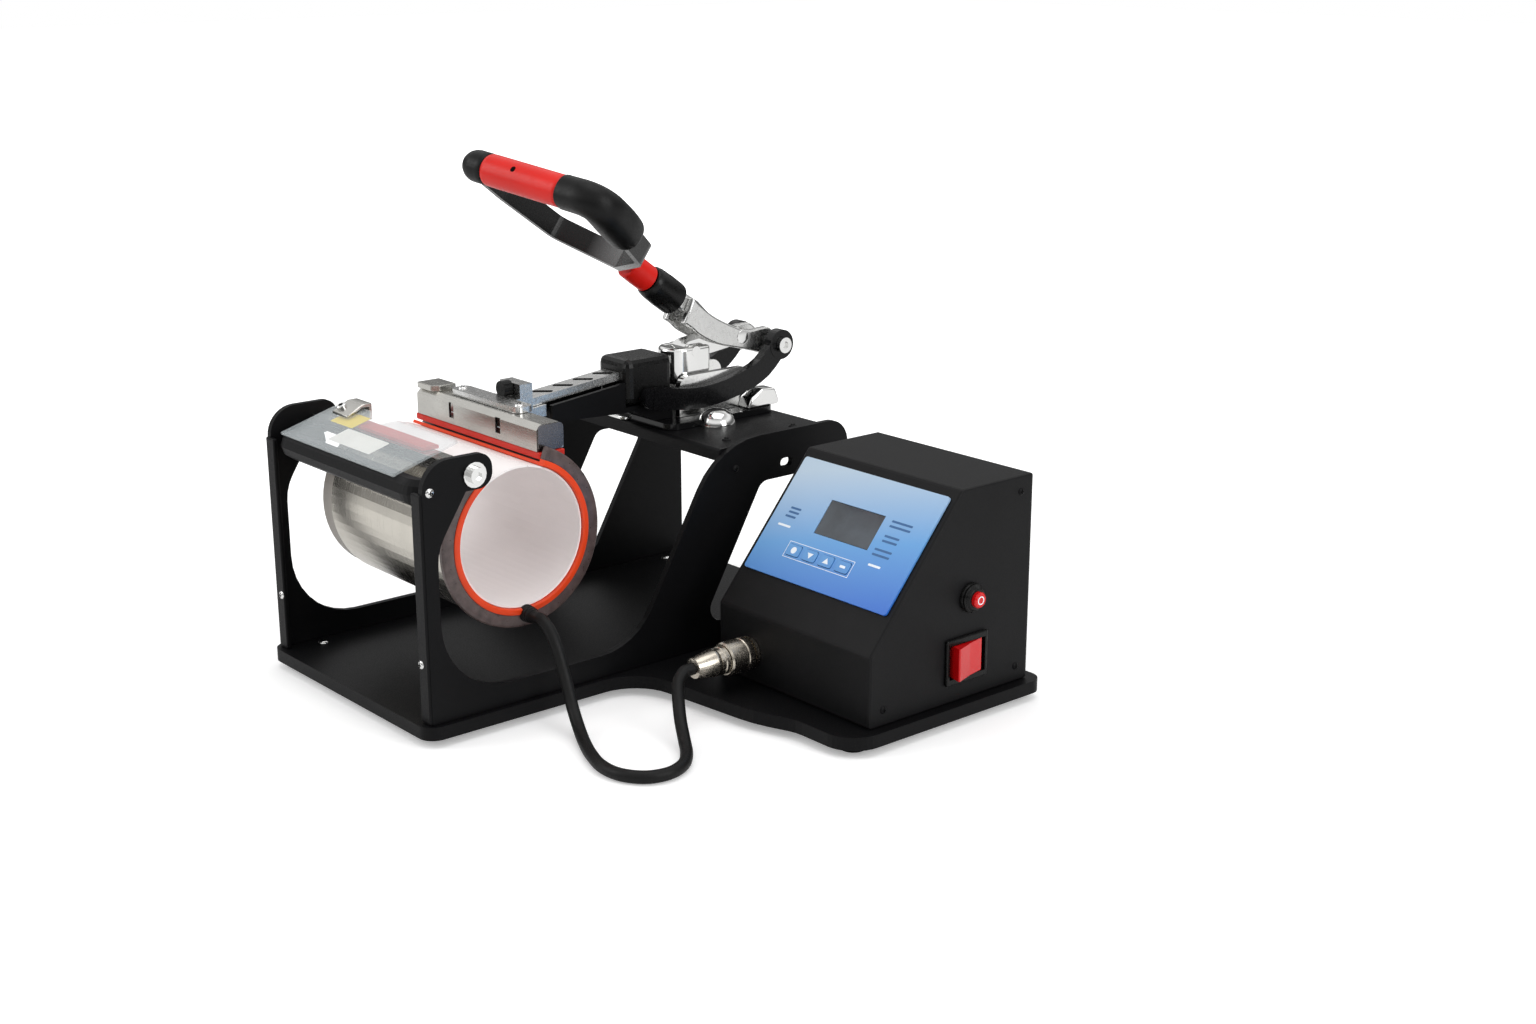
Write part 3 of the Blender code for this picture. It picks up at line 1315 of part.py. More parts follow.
def loop_path(half):
    """Half of the stirrup's centreline, from its foot to the middle of the grip."""
    run = GRIP_REACH - LOOP_START
    return filleted([
        (LOOP_START + STRIP_THICK * FOOT_LIFT_SHARE, 0.0, 0),
        (LOOP_START + run * LOOP_SPREAD_SHARE, half * LOOP_FOOT_SHARE, LOOP_CORNER),
        (LOOP_START + run * LOOP_KNEE_SHARE, half - LOOP_TUCK, 2 * LOOP_CORNER),
        (GRIP_REACH, half, LOOP_CORNER),
        (GRIP_REACH, 0.0, 0),
    ])


def full_loop():
    near = loop_path(LOOP_NEAR_HALF)
    far = [(d, -x) for d, x in loop_path(LOOP_FAR_HALF)[::-1]]
    return near + far[1:-1]


def yawed(d, x):
    """Turns a place in the stirrup's plane about its foot."""
    along = d - LOOP_START
    return (
        LOOP_START + along * math.cos(LOOP_YAW) - x * math.sin(LOOP_YAW),
        x * math.cos(LOOP_YAW) + along * math.sin(LOOP_YAW),
    )


def loop_plane():
    """Outlines across and along the lever, with thickness out of the stirrup's plane."""
    along = Vector((0, -math.cos(LEVER_ANGLE), math.sin(LEVER_ANGLE)))
    out = Vector((1, 0, 0)).cross(along)
    start = on_lever(0.0)
    return Matrix((
        (1, along.x, out.x, start.x), (0, along.y, out.y, start.y), (0, along.z, out.z, start.z), (0, 0, 0, 1),
    ))


def moved_loop(points, distance):
    """A closed path moved sideways by a distance."""
    made = []
    count = len(points)
    for i, point in enumerate(points):
        here = Vector(point)
        a = (here - Vector(points[i - 1])).normalized()
        b = (Vector(points[(i + 1) % count]) - here).normalized()
        normal_a, normal_b = Vector((-a.y, a.x)), Vector((-b.y, b.x))
        made.append(tuple(here + (normal_a + normal_b) / (1 + normal_a.dot(normal_b)) * distance))
    return made


def strip(name, gap):
    """The stirrup's strip, grown by a gap all round."""
    path = [yawed(d, x)[::-1] for d, x in full_loop()]
    half = STRIP_THICK / 2 + gap
    high = STRIP_HALF + gap
    return slab(name, moved_loop(path, -half), -high, high, loop_plane(), (moved_loop(path, half),))


def sleeve(name, flat, radius, material_name, hinge):
    """A round sleeve on a stretch of the stirrup, with a slot for its strip."""
    body = tube(name, [on_lever(*yawed(d, x)) for d, x in flat], radius, 4)
    keep(cut(body, strip(name + "_bore", SEAT)), name, material_name, hinge)


def grips(hinge):
    """Red grip tube, black near sleeve round the corner and down the side, and black far cap."""
    keep(strip("core", 0.0), "handle_loop", "black_powdercoat", hinge)
    red = [(GRIP_REACH, -RED_GRIP_FAR), (GRIP_REACH, RED_GRIP_NEAR)]
    sleeve("grip_sleeve", red, GRIP_RADIUS, "red_grip", hinge)
    path = loop_path(LOOP_NEAR_HALF)
    start = point_at(path, LOOP_START + (GRIP_REACH - LOOP_START) * SIDE_SLEEVE_SHARE)
    near = [start, *[(d, x) for d, x in path if d > start[0] + EDGE and x > RED_GRIP_NEAR + EDGE]]
    sleeve("side_sleeve", near + [(GRIP_REACH, RED_GRIP_NEAR + SEAT)], GRIP_RADIUS - SEAT, "black_rubber", hinge)
    end_cap(hinge)


def end_cap(hinge):
    """Black cap on the grip's far corner, rounded at its end."""
    length = LOOP_FAR_HALF + CAP_END - RED_GRIP_FAR - SEAT
    radius = GRIP_RADIUS - SEAT
    profile = [(0.0, length)]
    for step in range(CAP_STEPS + 1):
        turn = math.pi / 2 * step / CAP_STEPS
        profile.append((
            radius - CAP_ROUND + CAP_ROUND * math.sin(turn), length - CAP_ROUND + CAP_ROUND * math.cos(turn),
        ))
    first = on_lever(*yawed(GRIP_REACH, -RED_GRIP_FAR - SEAT))
    outwards = first - on_lever(*yawed(GRIP_REACH, 0.0))
    cap = turned("cap", [*profile, (radius, 0.0), (0.0, 0.0)], first, outwards.normalized(), 24)
    keep(cut(cap, strip("cap_bore", SEAT)), "grip_end_cap", "black_rubber", hinge)


def point_at(path, distance):
    """Where a path first passes a distance along the lever's line."""
    for (d0, x0), (d1, x1) in zip(path, path[1:]):
        if d0 <= distance < d1:
            share = (distance - d0) / (d1 - d0)
            return (distance, x0 + share * (x1 - x0))
    return path[-1]


# Control box
def box_corners(low):
    return [
        (BOX_FRONT, low, 0),
        (BOX_REAR, low, 0),
        (BOX_REAR, BOX_TOP, 0),
        (BOX_FRONT + BOX_SLOPE_DEPTH, BOX_TOP, 0),
        (BOX_FRONT, BOX_FOLD, 0),
    ]


def control_box():
    low = BASE_TOP + SEAT
    shell = slab("box", filleted(box_corners(low)), BOX_LEFT, BOX_RIGHT, SIDE)
    round_edges(shell, BOX_EDGE)
    inner = inset(box_corners(low), BOX_WALL)
    inner = [(y, z - BOX_WALL - OVERRUN if z < low + 2 * BOX_WALL else z, r) for y, z, r in inner]
    hollow = slab("box_hollow", filleted(inner), BOX_LEFT + BOX_WALL, BOX_RIGHT - BOX_WALL, SIDE)
    holes = [
        box(
            "rocker_hole", (BOX_RIGHT - BOX_WALL - OVERRUN, ROCKER_Y - rocker_body_half() - SEAT,
                            ROCKER_Z - rocker_body_rise() - SEAT),
            (BOX_RIGHT + OVERRUN, ROCKER_Y + rocker_body_half() + SEAT, ROCKER_Z + rocker_body_rise() + SEAT),
        ),
        cone(
            "breaker_hole", (BOX_RIGHT - BOX_WALL - OVERRUN, BREAKER_Y, BREAKER_Z),
            (BOX_RIGHT + OVERRUN, BREAKER_Y, BREAKER_Z), BREAKER_BODY + SEAT,
        ),
        cone(
            "socket_hole", (PLUG_X, BOX_FRONT - OVERRUN, PLUG_Z),
            (PLUG_X, BOX_FRONT + BOX_WALL + OVERRUN, PLUG_Z), SOCKET_RADIUS + SEAT,
        ),
        box(
            "inlet_hole", (INLET_X - INLET_WIDTH / 2 + INLET_WALL - SEAT, BOX_REAR - BOX_WALL - OVERRUN,
                           INLET_Z - INLET_HEIGHT / 2 + INLET_WALL - SEAT),
            (INLET_X + INLET_WIDTH / 2 - INLET_WALL + SEAT, BOX_REAR + OVERRUN,
             INLET_Z + INLET_HEIGHT / 2 - INLET_WALL + SEAT),
        ),
    ]
    keep(cut(shell, hollow, *holes), "box_shell", "box_black")
    display()
    board()
    transformer()
    mains_inlet()


def on_slope(made):
    """Moves a shape modelled flat, with Y up the slope and Z outwards, onto the box's sloping front."""
    turn = Matrix.Translation((0, BOX_FRONT, BOX_FOLD)) @ Matrix.Rotation(SLOPE_ANGLE, 4, "X")
    made.matrix_world = turn @ made.matrix_world
    return made


def key_place(number):
    return KEY_FIRST + number * KEY_PITCH


def display():
    middle = BOX_LEFT + BOX_WIDTH / 2
    lcd = (LCD_CENTRE - LCD_WIDTH / 2, LCD_BOTTOM, LCD_CENTRE + LCD_WIDTH / 2, LCD_BOTTOM + LCD_HEIGHT)
    holes = [rectangle(lcd[0] - SEAT, lcd[1] - SEAT, lcd[2] + SEAT, lcd[3] + SEAT)]
    for number in range(KEY_COUNT):
        x = key_place(number)
        half, rise = KEY_WIDTH / 2 + SEAT, KEY_HEIGHT / 2 + SEAT
        holes.append(rectangle(x - half, KEY_UP - rise, x + half, KEY_UP + rise, KEY_CORNER))
    panel = slab("panel", rectangle(
        middle - PANEL_WIDTH / 2, PANEL_BOTTOM, middle + PANEL_WIDTH / 2, PANEL_BOTTOM + PANEL_HEIGHT, PANEL_CORNER,
    ), SEAT, SEAT + PANEL_THICK, PLAN, holes)
    keep(on_slope(panel), "display_panel", "panel_blue")
    glass = slab("lcd", rectangle(*lcd), SEAT, SEAT + PANEL_THICK - SEAT)
    keep(on_slope(glass), "lcd_window", "lcd_grey")
    for number in range(KEY_COUNT):
        x = key_place(number)
        axis = empty(f"key_{number + 1}_slide", (0, 0, 0), origin)
        key = slab("key", rectangle(
            x - KEY_WIDTH / 2, KEY_UP - KEY_HEIGHT / 2, x + KEY_WIDTH / 2, KEY_UP + KEY_HEIGHT / 2, KEY_CORNER,
        ), SEAT + KEY_LIFT, SEAT + KEY_LIFT + KEY_THICK)
        keep(on_slope(key), f"key_{number + 1}", "key_blue", axis)


def board():
    """Circuit board on four standoffs behind the sloping front."""
    middle = BOX_LEFT + BOX_WIDTH / 2
    centre = SLOPE_LENGTH / 2
    top = -BOX_WALL - SEAT - STANDOFF
    low = top - BOARD_THICK
    made = slab("board", rectangle(
        middle - BOARD_WIDTH / 2, centre - BOARD_HEIGHT / 2, middle + BOARD_WIDTH / 2, centre + BOARD_HEIGHT / 2,
    ), low, top)
    inset_by = 2 * STANDOFF_RADIUS
    extras = []
    for x in (middle - BOARD_WIDTH / 2 + inset_by, middle + BOARD_WIDTH / 2 - inset_by):
        for y in (centre - BOARD_HEIGHT / 2 + inset_by, centre + BOARD_HEIGHT / 2 - inset_by):
            extras.append(cone("standoff", (x, y, low + SEAT), (x, y, top + STANDOFF), STANDOFF_RADIUS, sides=12))
    for x_share, y_share, width_share, height_share in CHIP_SHARES:
        x, y = middle + x_share * BOARD_WIDTH, centre + y_share * BOARD_HEIGHT
        width, height = width_share * BOARD_WIDTH, height_share * BOARD_HEIGHT
        extras.append(box(
            "chip", (x - width / 2, y - height / 2, low - CHIP_HEIGHT), (x + width / 2, y + height / 2, low + SEAT),
        ))
    for extra in extras:
        on_slope(extra)
    keep(join(on_slope(made), *extras), "circuit_board", "circuit_green")


def transformer():
    """Iron core with a coil round its middle, on the base plate inside the box."""
    x = BOX_LEFT + BOX_WIDTH / 2
    y = BOX_REAR - BOX_WALL - TRANSFORMER_DEPTH * 1.5
    low = BASE_TOP + SEAT
    core = box(
        "core", (x - TRANSFORMER_WIDTH / 2, y - TRANSFORMER_DEPTH * COIL_SHARE / 2, low),
        (x + TRANSFORMER_WIDTH / 2, y + TRANSFORMER_DEPTH * COIL_SHARE / 2, low + TRANSFORMER_HEIGHT),
    )
    coil = box(
        "coil", (x - TRANSFORMER_WIDTH * COIL_SHARE / 2, y - TRANSFORMER_DEPTH / 2, low + TRANSFORMER_HEIGHT / 5),
        (x + TRANSFORMER_WIDTH * COIL_SHARE / 2, y + TRANSFORMER_DEPTH / 2, low + TRANSFORMER_HEIGHT * 4 / 5),
    )
    keep(join(core, coil), "transformer", "transformer_iron")


def mains_inlet():
    half, rise = INLET_WIDTH / 2, INLET_HEIGHT / 2
    rim = slab(
        "inlet", rectangle(INLET_X - half, INLET_Z - rise, INLET_X + half, INLET_Z + rise, INLET_CORNER),
        -BOX_REAR - SEAT - INLET_RIM, -BOX_REAR - SEAT, FACE,
    )
    wall = INLET_WALL
    body = box(
        "inlet_body", (INLET_X - half + wall, BOX_REAR - INLET_DEPTH, INLET_Z - rise + wall),
        (INLET_X + half - wall, BOX_REAR + SEAT + INLET_RIM / 2, INLET_Z + rise - wall),
    )
    well = box(
        "inlet_well", (INLET_X - half + 2 * wall, BOX_REAR - INLET_WELL, INLET_Z - rise + 2 * wall),
        (INLET_X + half - 2 * wall, BOX_REAR + INLET_RIM + OVERRUN, INLET_Z + rise - 2 * wall),
    )
    pins = []
    pin = PIN_HALF_SHARE * INLET_HEIGHT
    for shift in (-1, 0, 1):
        x = INLET_X + shift * half / 2
        z = INLET_Z + (pin if shift == 0 else -pin)
        pins.append(box(
            "inlet_pin", (x - pin / 2, BOX_REAR - INLET_WELL - OVERRUN / 2, z - pin),
            (x + pin / 2, BOX_REAR - INLET_WELL + PIN_LENGTH, z + pin),
        ))
    keep(join(cut(join(rim, body), well), *pins), "mains_inlet", "black_plastic")


# Switches
def rocker_body_half():
    return ROCKER_HALF + ROCKER_SWING + ROCKER_BODY_WALL


def rocker_body_rise():
    return ROCKER_CAP_HEIGHT / 2 + RUNNING + ROCKER_BODY_WALL


def rocker_switch():
    face = BOX_RIGHT + SEAT
    frame = box(
        "rocker_rim", (face, ROCKER_Y - ROCKER_FRAME / 2, ROCKER_Z - ROCKER_FRAME_HEIGHT / 2),
        (face + ROCKER_RIM, ROCKER_Y + ROCKER_FRAME / 2, ROCKER_Z + ROCKER_FRAME_HEIGHT / 2),
    )
    round_edges(frame, EDGE)
    body = box(
        "rocker_body", (face - ROCKER_DEPTH, ROCKER_Y - rocker_body_half(), ROCKER_Z - rocker_body_rise()),
        (face + ROCKER_RIM / 2, ROCKER_Y + rocker_body_half(), ROCKER_Z + rocker_body_rise()),
    )
    cavity = box(
        "rocker_cavity",
        (face - ROCKER_DEPTH + ROCKER_BODY_WALL, ROCKER_Y - ROCKER_HALF - ROCKER_SWING,
         ROCKER_Z - ROCKER_CAP_HEIGHT / 2 - RUNNING),
        (face + ROCKER_RIM + OVERRUN, ROCKER_Y + ROCKER_HALF + ROCKER_SWING,
         ROCKER_Z + ROCKER_CAP_HEIGHT / 2 + RUNNING),
    )
    keep(cut(join(frame, body), cavity), "rocker_housing", "black_plastic")
    pivot = empty("rocker_pivot", (BOX_RIGHT, ROCKER_Y, ROCKER_Z), origin)
    outline = filleted([
        (BOX_RIGHT - ROCKER_ROOT, ROCKER_Y - ROCKER_HALF + ROCKER_ROOT / 2, 0),
        (BOX_RIGHT - ROCKER_ROOT, ROCKER_Y + ROCKER_HALF - ROCKER_ROOT / 2, 0),
        (BOX_RIGHT + ROCKER_IN, ROCKER_Y + ROCKER_HALF, EDGE),
        (BOX_RIGHT + ROCKER_MID, ROCKER_Y, ROCKER_HALF),
        (BOX_RIGHT + ROCKER_OUT, ROCKER_Y - ROCKER_HALF, EDGE),
    ])
    low = ROCKER_Z - ROCKER_CAP_HEIGHT / 2
    keep(slab("rocker", outline, low, low + ROCKER_CAP_HEIGHT), "rocker_cap", "red_plastic", pivot)


def breaker():
    """Reset button of the circuit breaker, in its round bezel."""
    face = BOX_RIGHT + SEAT
    well = BUTTON_DEPTH + BUTTON_TRAVEL + RUNNING
    bezel = turned("breaker", [
        (0.0, BREAKER_RIM - well),
        (BUTTON_RADIUS + RUNNING / 2, BREAKER_RIM - well),
        (BUTTON_RADIUS + RUNNING / 2, BREAKER_RIM),
        (BREAKER_RADIUS - EDGE, BREAKER_RIM),
        (BREAKER_RADIUS, BREAKER_RIM - EDGE),
        (BREAKER_RADIUS, 0.0),
        (BREAKER_BODY, 0.0),
        (BREAKER_BODY, -BREAKER_DEPTH),
        (0.0, -BREAKER_DEPTH),
    ], (face, BREAKER_Y, BREAKER_Z), (1, 0, 0), 28)
    keep(bezel, "breaker_body", "black_plastic")
    axis = empty("breaker_slide", (BOX_RIGHT, BREAKER_Y, BREAKER_Z), origin)
    button = turned("button", [
        (0.0, BREAKER_RIM + BUTTON_OUT),
        (BUTTON_RADIUS - EDGE, BREAKER_RIM + BUTTON_OUT),
        (BUTTON_RADIUS, BREAKER_RIM + BUTTON_OUT - EDGE),
        (BUTTON_RADIUS, BREAKER_RIM - BUTTON_DEPTH),
        (0.0, BREAKER_RIM - BUTTON_DEPTH),
    ], (face, BREAKER_Y, BREAKER_Z), (1, 0, 0), 24)
    keep(button, "breaker_button", "red_plastic", axis)


# Connector and cable
def connector():
    face = BOX_FRONT - SEAT
    forward = (0, -1, 0)
    socket = turned("socket", [
        (0.0, SOCKET_OUT),
        (SOCKET_RADIUS, SOCKET_OUT),
        (SOCKET_RADIUS, SOCKET_FLANGE_THICK),
        (SOCKET_FLANGE, SOCKET_FLANGE_THICK),
        (SOCKET_FLANGE, 0.0),
        (SOCKET_RADIUS, 0.0),
        (SOCKET_RADIUS, -SOCKET_IN),
        (0.0, -SOCKET_IN),
    ], (PLUG_X, face, PLUG_Z), forward, 24)
    keep(socket, "socket", "nickel")
    bore = SOCKET_RADIUS + SEAT
    ring_axis = empty("plug_ring_axis", (PLUG_X, BOX_FRONT, PLUG_Z), origin)
    ring = turned("ring", [
        (bore, RING_START + RING_LENGTH),
        (RING_RADIUS - EDGE, RING_START + RING_LENGTH),
        (RING_RADIUS, RING_START + RING_LENGTH - EDGE),
        (RING_RADIUS, RING_START + EDGE),
        (RING_RADIUS - EDGE, RING_START),
        (bore, RING_START),
        (bore, RING_START + RING_LENGTH),
    ], (PLUG_X, face, PLUG_Z), forward, 28)
    keep(ring, "plug_ring", "nickel", ring_axis)
    start = RING_START + RING_LENGTH + SEAT
    plug = turned("plug", [
        (0.0, start + PLUG_BARREL + PLUG_TAIL),
        (PLUG_TAIL_RADIUS, start + PLUG_BARREL + PLUG_TAIL),
        (PLUG_TAIL_RADIUS, start + PLUG_BARREL + PLUG_TAIL / 2),
        (PLUG_RADIUS, start + PLUG_BARREL),
        (PLUG_RADIUS, start),
        (SOCKET_RADIUS, start),
        (SOCKET_RADIUS, start - SPIGOT),
        (0.0, start - SPIGOT),
    ], (PLUG_X, face, PLUG_Z), forward, 24)
    keep(plug, "plug_body", "nickel")


def plug_end():
    """Where the cable enters the plug."""
    out = SEAT + RING_START + RING_LENGTH + SEAT + PLUG_BARREL + PLUG_TAIL + SEAT
    return (PLUG_X, BOX_FRONT - out, PLUG_Z)


def heater_cable():
    start, end = Vector(CABLE_ROUTE[0]), Vector(plug_end())
    route = [start + Vector((CABLE_LEAD, 0, 0)), *CABLE_ROUTE[1:], end - Vector((0, CABLE_LEAD, 0))]
    points, length = smooth_path(route, CABLE_STEP)
    print(f"heater cable: {length + 2 * CABLE_LEAD:.4f} m in {len(points)} points")
    keep(tube("cable", [start, *points, end], CABLE_RADIUS, 2), "heater_cable", "black_rubber")


def main():
    clear_scene()
    make_collections()
    base_plate()
    feet()
    side_plate("side_plate_near", NEAR, -1)
    side_plate("side_plate_far", FAR, 1)
    cross_plate()
    front_tube()
    clamp_bar()
    front_cover()
    heater_band()
    front_pad()
    cable_gland()
    slide = plunger()
    pressure_knob(slide)
    toggle_link(slide)
    guide_arm()
    guide_sleeve()
    toggle_bracket()
    link_arms()
    pivot_bolt()
    lever()
    control_box()
    rocker_switch()
    breaker()
    connector()
    heater_cable()


main()
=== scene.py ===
import math

import bmesh
import bpy
from mathutils import Matrix, Vector


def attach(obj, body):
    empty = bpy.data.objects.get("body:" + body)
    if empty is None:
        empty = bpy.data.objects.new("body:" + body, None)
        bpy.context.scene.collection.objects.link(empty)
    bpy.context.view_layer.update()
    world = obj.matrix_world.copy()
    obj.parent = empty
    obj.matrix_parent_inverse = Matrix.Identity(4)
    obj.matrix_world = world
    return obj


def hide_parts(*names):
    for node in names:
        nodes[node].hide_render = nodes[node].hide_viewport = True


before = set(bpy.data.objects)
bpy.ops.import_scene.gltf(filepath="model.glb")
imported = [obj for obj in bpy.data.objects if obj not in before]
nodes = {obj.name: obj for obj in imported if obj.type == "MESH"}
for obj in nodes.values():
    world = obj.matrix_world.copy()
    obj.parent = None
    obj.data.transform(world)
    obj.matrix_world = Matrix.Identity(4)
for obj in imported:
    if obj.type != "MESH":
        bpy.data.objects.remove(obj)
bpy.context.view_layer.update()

# The mug heat press's looks. Places are in millimetres in the part's own working frame, with X along the mug's
# axis, Y towards the back, Z up, the near plate's outer face at X = 0 and the base plate's top at Z = 0.
MM = 0.001
SHIFT = Vector((4.40, -164.0, 13.0))
WORKING = Matrix.Scale(MM, 4) @ Matrix.Translation(SHIFT)
MIDDLE = -89.75                             # the lever's and the plunger's middle plane
CAMERA_PLACE = (945.345, -560.751, 442.166)
BOX_FACE, BOX_FRONT = 167.2, 185.1          # the control box's outer side and its front
BAND_Y, BAND_Z = 78, 93.7                   # the mug's axis
LEVER_ANGLE = math.radians(36.2)
LEVER_Y, LEVER_Z = 267, 192.4               # where distances along the lever's line start
LOOP_YAW = math.radians(13.4)
LOOP_FOOT = 70                              # the stirrup's foot, along the lever's line
GRIP = 168.5                                # the red grip's line, along the stirrup
CHEEK_INNER, CHEEK_OUTER = 7.1, 12.4        # the lever's cheeks, from the middle plane
BREAKER_Y, BREAKER_Z = 265, 62.7
BEVEL_ANGLE, SHARP_ANGLE = math.radians(35), math.radians(40)


def P(x, y, z):
    return WORKING @ Vector((x, y, z))


# Camera
AZIMUTH, ELEVATION = math.radians(49.26), math.radians(16.2)
camera = bpy.data.objects.new("camera", bpy.data.cameras.new("camera"))
bpy.context.scene.collection.objects.link(camera)
away = Vector((
    math.sin(AZIMUTH) * math.cos(ELEVATION), -math.cos(AZIMUTH) * math.cos(ELEVATION), math.sin(ELEVATION),
))
camera.location = P(*CAMERA_PLACE)
camera.rotation_euler = (-away).to_track_quat("-Z", "Y").to_euler()
camera.data.sensor_width = 36
camera.data.lens = 2040.568 / 1536 * 36
bpy.context.scene.camera = camera

# Frames that outlines are drawn in, each a map from local millimetres to the world
SIDEWAYS = Matrix(((0, 0, 1, 0), (1, 0, 0, 0), (0, 1, 0, 0), (0, 0, 0, 1)))
SIDE = WORKING @ SIDEWAYS
PLAN = WORKING
SLOPE_FOOT, SLOPE_TOP, SLOPE_RUN = 43.5, 128.8, 71.7
FOLD = math.atan2(SLOPE_TOP - SLOPE_FOOT, SLOPE_RUN)
SLOPE = WORKING @ Matrix.Translation((0, BOX_FRONT, SLOPE_FOOT)) @ Matrix.Rotation(FOLD, 4, "X")
BOX_SIDE = WORKING @ Matrix.Translation((BOX_FACE, 0, 0)) @ SIDEWAYS
LEVER_LINE = (0.0, -math.cos(LEVER_ANGLE), math.sin(LEVER_ANGLE))


def on_lever(distance, across=0.0, lift=0.0):
    """Working-frame place at a distance along the lever's line, beside it and above it."""
    return Vector((
        MIDDLE + across,
        LEVER_Y - distance * math.cos(LEVER_ANGLE) + lift * math.sin(LEVER_ANGLE),
        LEVER_Z + distance * math.sin(LEVER_ANGLE) + lift * math.cos(LEVER_ANGLE),
    ))


def on_loop(distance, across, lift=0.0):
    """Working-frame place in the stirrup's plane, which is turned about the stirrup's foot."""
    along = distance - LOOP_FOOT
    return on_lever(
        LOOP_FOOT + along * math.cos(LOOP_YAW) - across * math.sin(LOOP_YAW),
        across * math.cos(LOOP_YAW) + along * math.sin(LOOP_YAW), lift,
    )


# Materials
def shader(name):
    made = bpy.data.materials.new(name)
    made.use_nodes = True
    return made, made.node_tree, made.node_tree.nodes["Principled BSDF"]


def noise(tree, scale, stretch=(1, 1, 1), detail=4.0):
    place = tree.nodes.new("ShaderNodeTexCoord")
    mapping = tree.nodes.new("ShaderNodeMapping")
    mapping.inputs["Scale"].default_value = stretch
    grain = tree.nodes.new("ShaderNodeTexNoise")
    grain.inputs["Scale"].default_value = scale
    grain.inputs["Detail"].default_value = detail
    tree.links.new(place.outputs["Object"], mapping.inputs["Vector"])
    tree.links.new(mapping.outputs["Vector"], grain.inputs["Vector"])
    return grain.outputs["Fac"]


def spread(tree, value, low, high):
    """Maps the middle of a noise's range to the range low to high."""
    ranged = tree.nodes.new("ShaderNodeMapRange")
    ranged.inputs["From Min"].default_value = 0.3
    ranged.inputs["From Max"].default_value = 0.7
    ranged.inputs["To Min"].default_value = low
    ranged.inputs["To Max"].default_value = high
    tree.links.new(value, ranged.inputs["Value"])
    return ranged.outputs["Result"]


def mixed(tree, fac, low, high):
    mix = tree.nodes.new("ShaderNodeMix")
    mix.data_type = "RGBA"
    mix.inputs["A"].default_value = (*low, 1)
    mix.inputs["B"].default_value = (*high, 1)
    tree.links.new(fac, mix.inputs["Factor"])
    return mix.outputs["Result"]


def distance_along(tree, axis, low, high):
    """A place's distance along a direction, with the range low to high mapped to the range 0 to 1."""
    place = tree.nodes.new("ShaderNodeTexCoord")
    across = tree.nodes.new("ShaderNodeVectorMath")
    across.operation = "DOT_PRODUCT"
    across.inputs[1].default_value = axis
    tree.links.new(place.outputs["Object"], across.inputs[0])
    ranged = tree.nodes.new("ShaderNodeMapRange")
    ranged.inputs["From Min"].default_value = low
    ranged.inputs["From Max"].default_value = high
    tree.links.new(across.outputs["Value"], ranged.inputs["Value"])
    return ranged.outputs["Result"]


def grained(tree, bsdf, fine, rough, vary, strength=0.08, depth=0.0001):
    """Gives a shader the gloss and the relief of a fine noise."""
    tree.links.new(spread(tree, fine, rough - vary, rough + vary), bsdf.inputs["Roughness"])
    relief = tree.nodes.new("ShaderNodeBump")
    relief.inputs["Strength"].default_value = strength
    relief.inputs["Distance"].default_value = depth
    tree.links.new(fine, relief.inputs["Height"])
    tree.links.new(relief.outputs["Normal"], bsdf.inputs["Normal"])


def surface(name, colour, rough=0.4, metal=0.0, mottle=0.12, cloud=30, rough_vary=0.06, grain=900, bump=0.1,
            depth=0.0001, stretch=(1, 1, 1), coat=0.0, coat_rough=0.1, alpha=1.0, anisotropic=0.0,
            specular=0.5):
    """A procedural surface: slow colour and gloss variation, and a fine grain in its relief."""
    made, tree, bsdf = shader(name)
    slow = spread(tree, noise(tree, cloud), 0, 1)
    dark = [c * (1 - mottle) for c in colour]
    light = [min(1.0, c * (1 + mottle)) for c in colour]
    tree.links.new(mixed(tree, slow, dark, light), bsdf.inputs["Base Color"])
    grained(tree, bsdf, noise(tree, grain, stretch, 3.0), rough, rough_vary, bump, depth)
    bsdf.inputs["Metallic"].default_value = metal
    bsdf.inputs["Coat Weight"].default_value = coat
    bsdf.inputs["Coat Roughness"].default_value = coat_rough
    bsdf.inputs["Alpha"].default_value = alpha
    bsdf.inputs["Anisotropic"].default_value = anisotropic
    bsdf.inputs["Specular IOR Level"].default_value = specular
    return made


powder = surface("powder_coat", (0.0035, 0.0035, 0.004), 0.44, rough_vary=0.08, grain=1400, bump=0.2, depth=0.0002,
                 specular=0.13)
box_coat = surface("box_coat", (0.0060, 0.0060, 0.0065), 0.50, rough_vary=0.06, grain=1600, bump=0.25, depth=0.0002,
                   specular=0.15)
arm_black = surface("arm_black", (0.003, 0.003, 0.0035), 0.24, rough_vary=0.06, grain=600, bump=0.04, coat=0.12,
                    specular=0.18)
steel = surface("brushed_steel", (0.60, 0.57, 0.51), 0.24, 1.0, mottle=0.05, cloud=45, rough_vary=0.04, grain=60,
                stretch=(40, 1, 1), bump=0.03, depth=0.0001, anisotropic=0.4)
channel_steel = surface("channel_steel", (0.50, 0.49, 0.46), 0.24, 1.0, mottle=0.06, cloud=60, rough_vary=0.05,
                        grain=60, stretch=(1, 30, 30), bump=0.03, depth=0.0001)
chrome = surface("chrome", (0.78, 0.78, 0.77), 0.11, 1.0, mottle=0.04, rough_vary=0.03, grain=160, bump=0.015,
                 depth=0.0002)
alloy = surface("forged_alloy", (0.68, 0.68, 0.67), 0.25, 1.0, mottle=0.05, rough_vary=0.05, grain=400, bump=0.03,
                depth=0.0002)
dark_steel = surface("dark_steel", (0.16, 0.15, 0.15), 0.25, 1.0, mottle=0.15, rough_vary=0.05, bump=0.03)
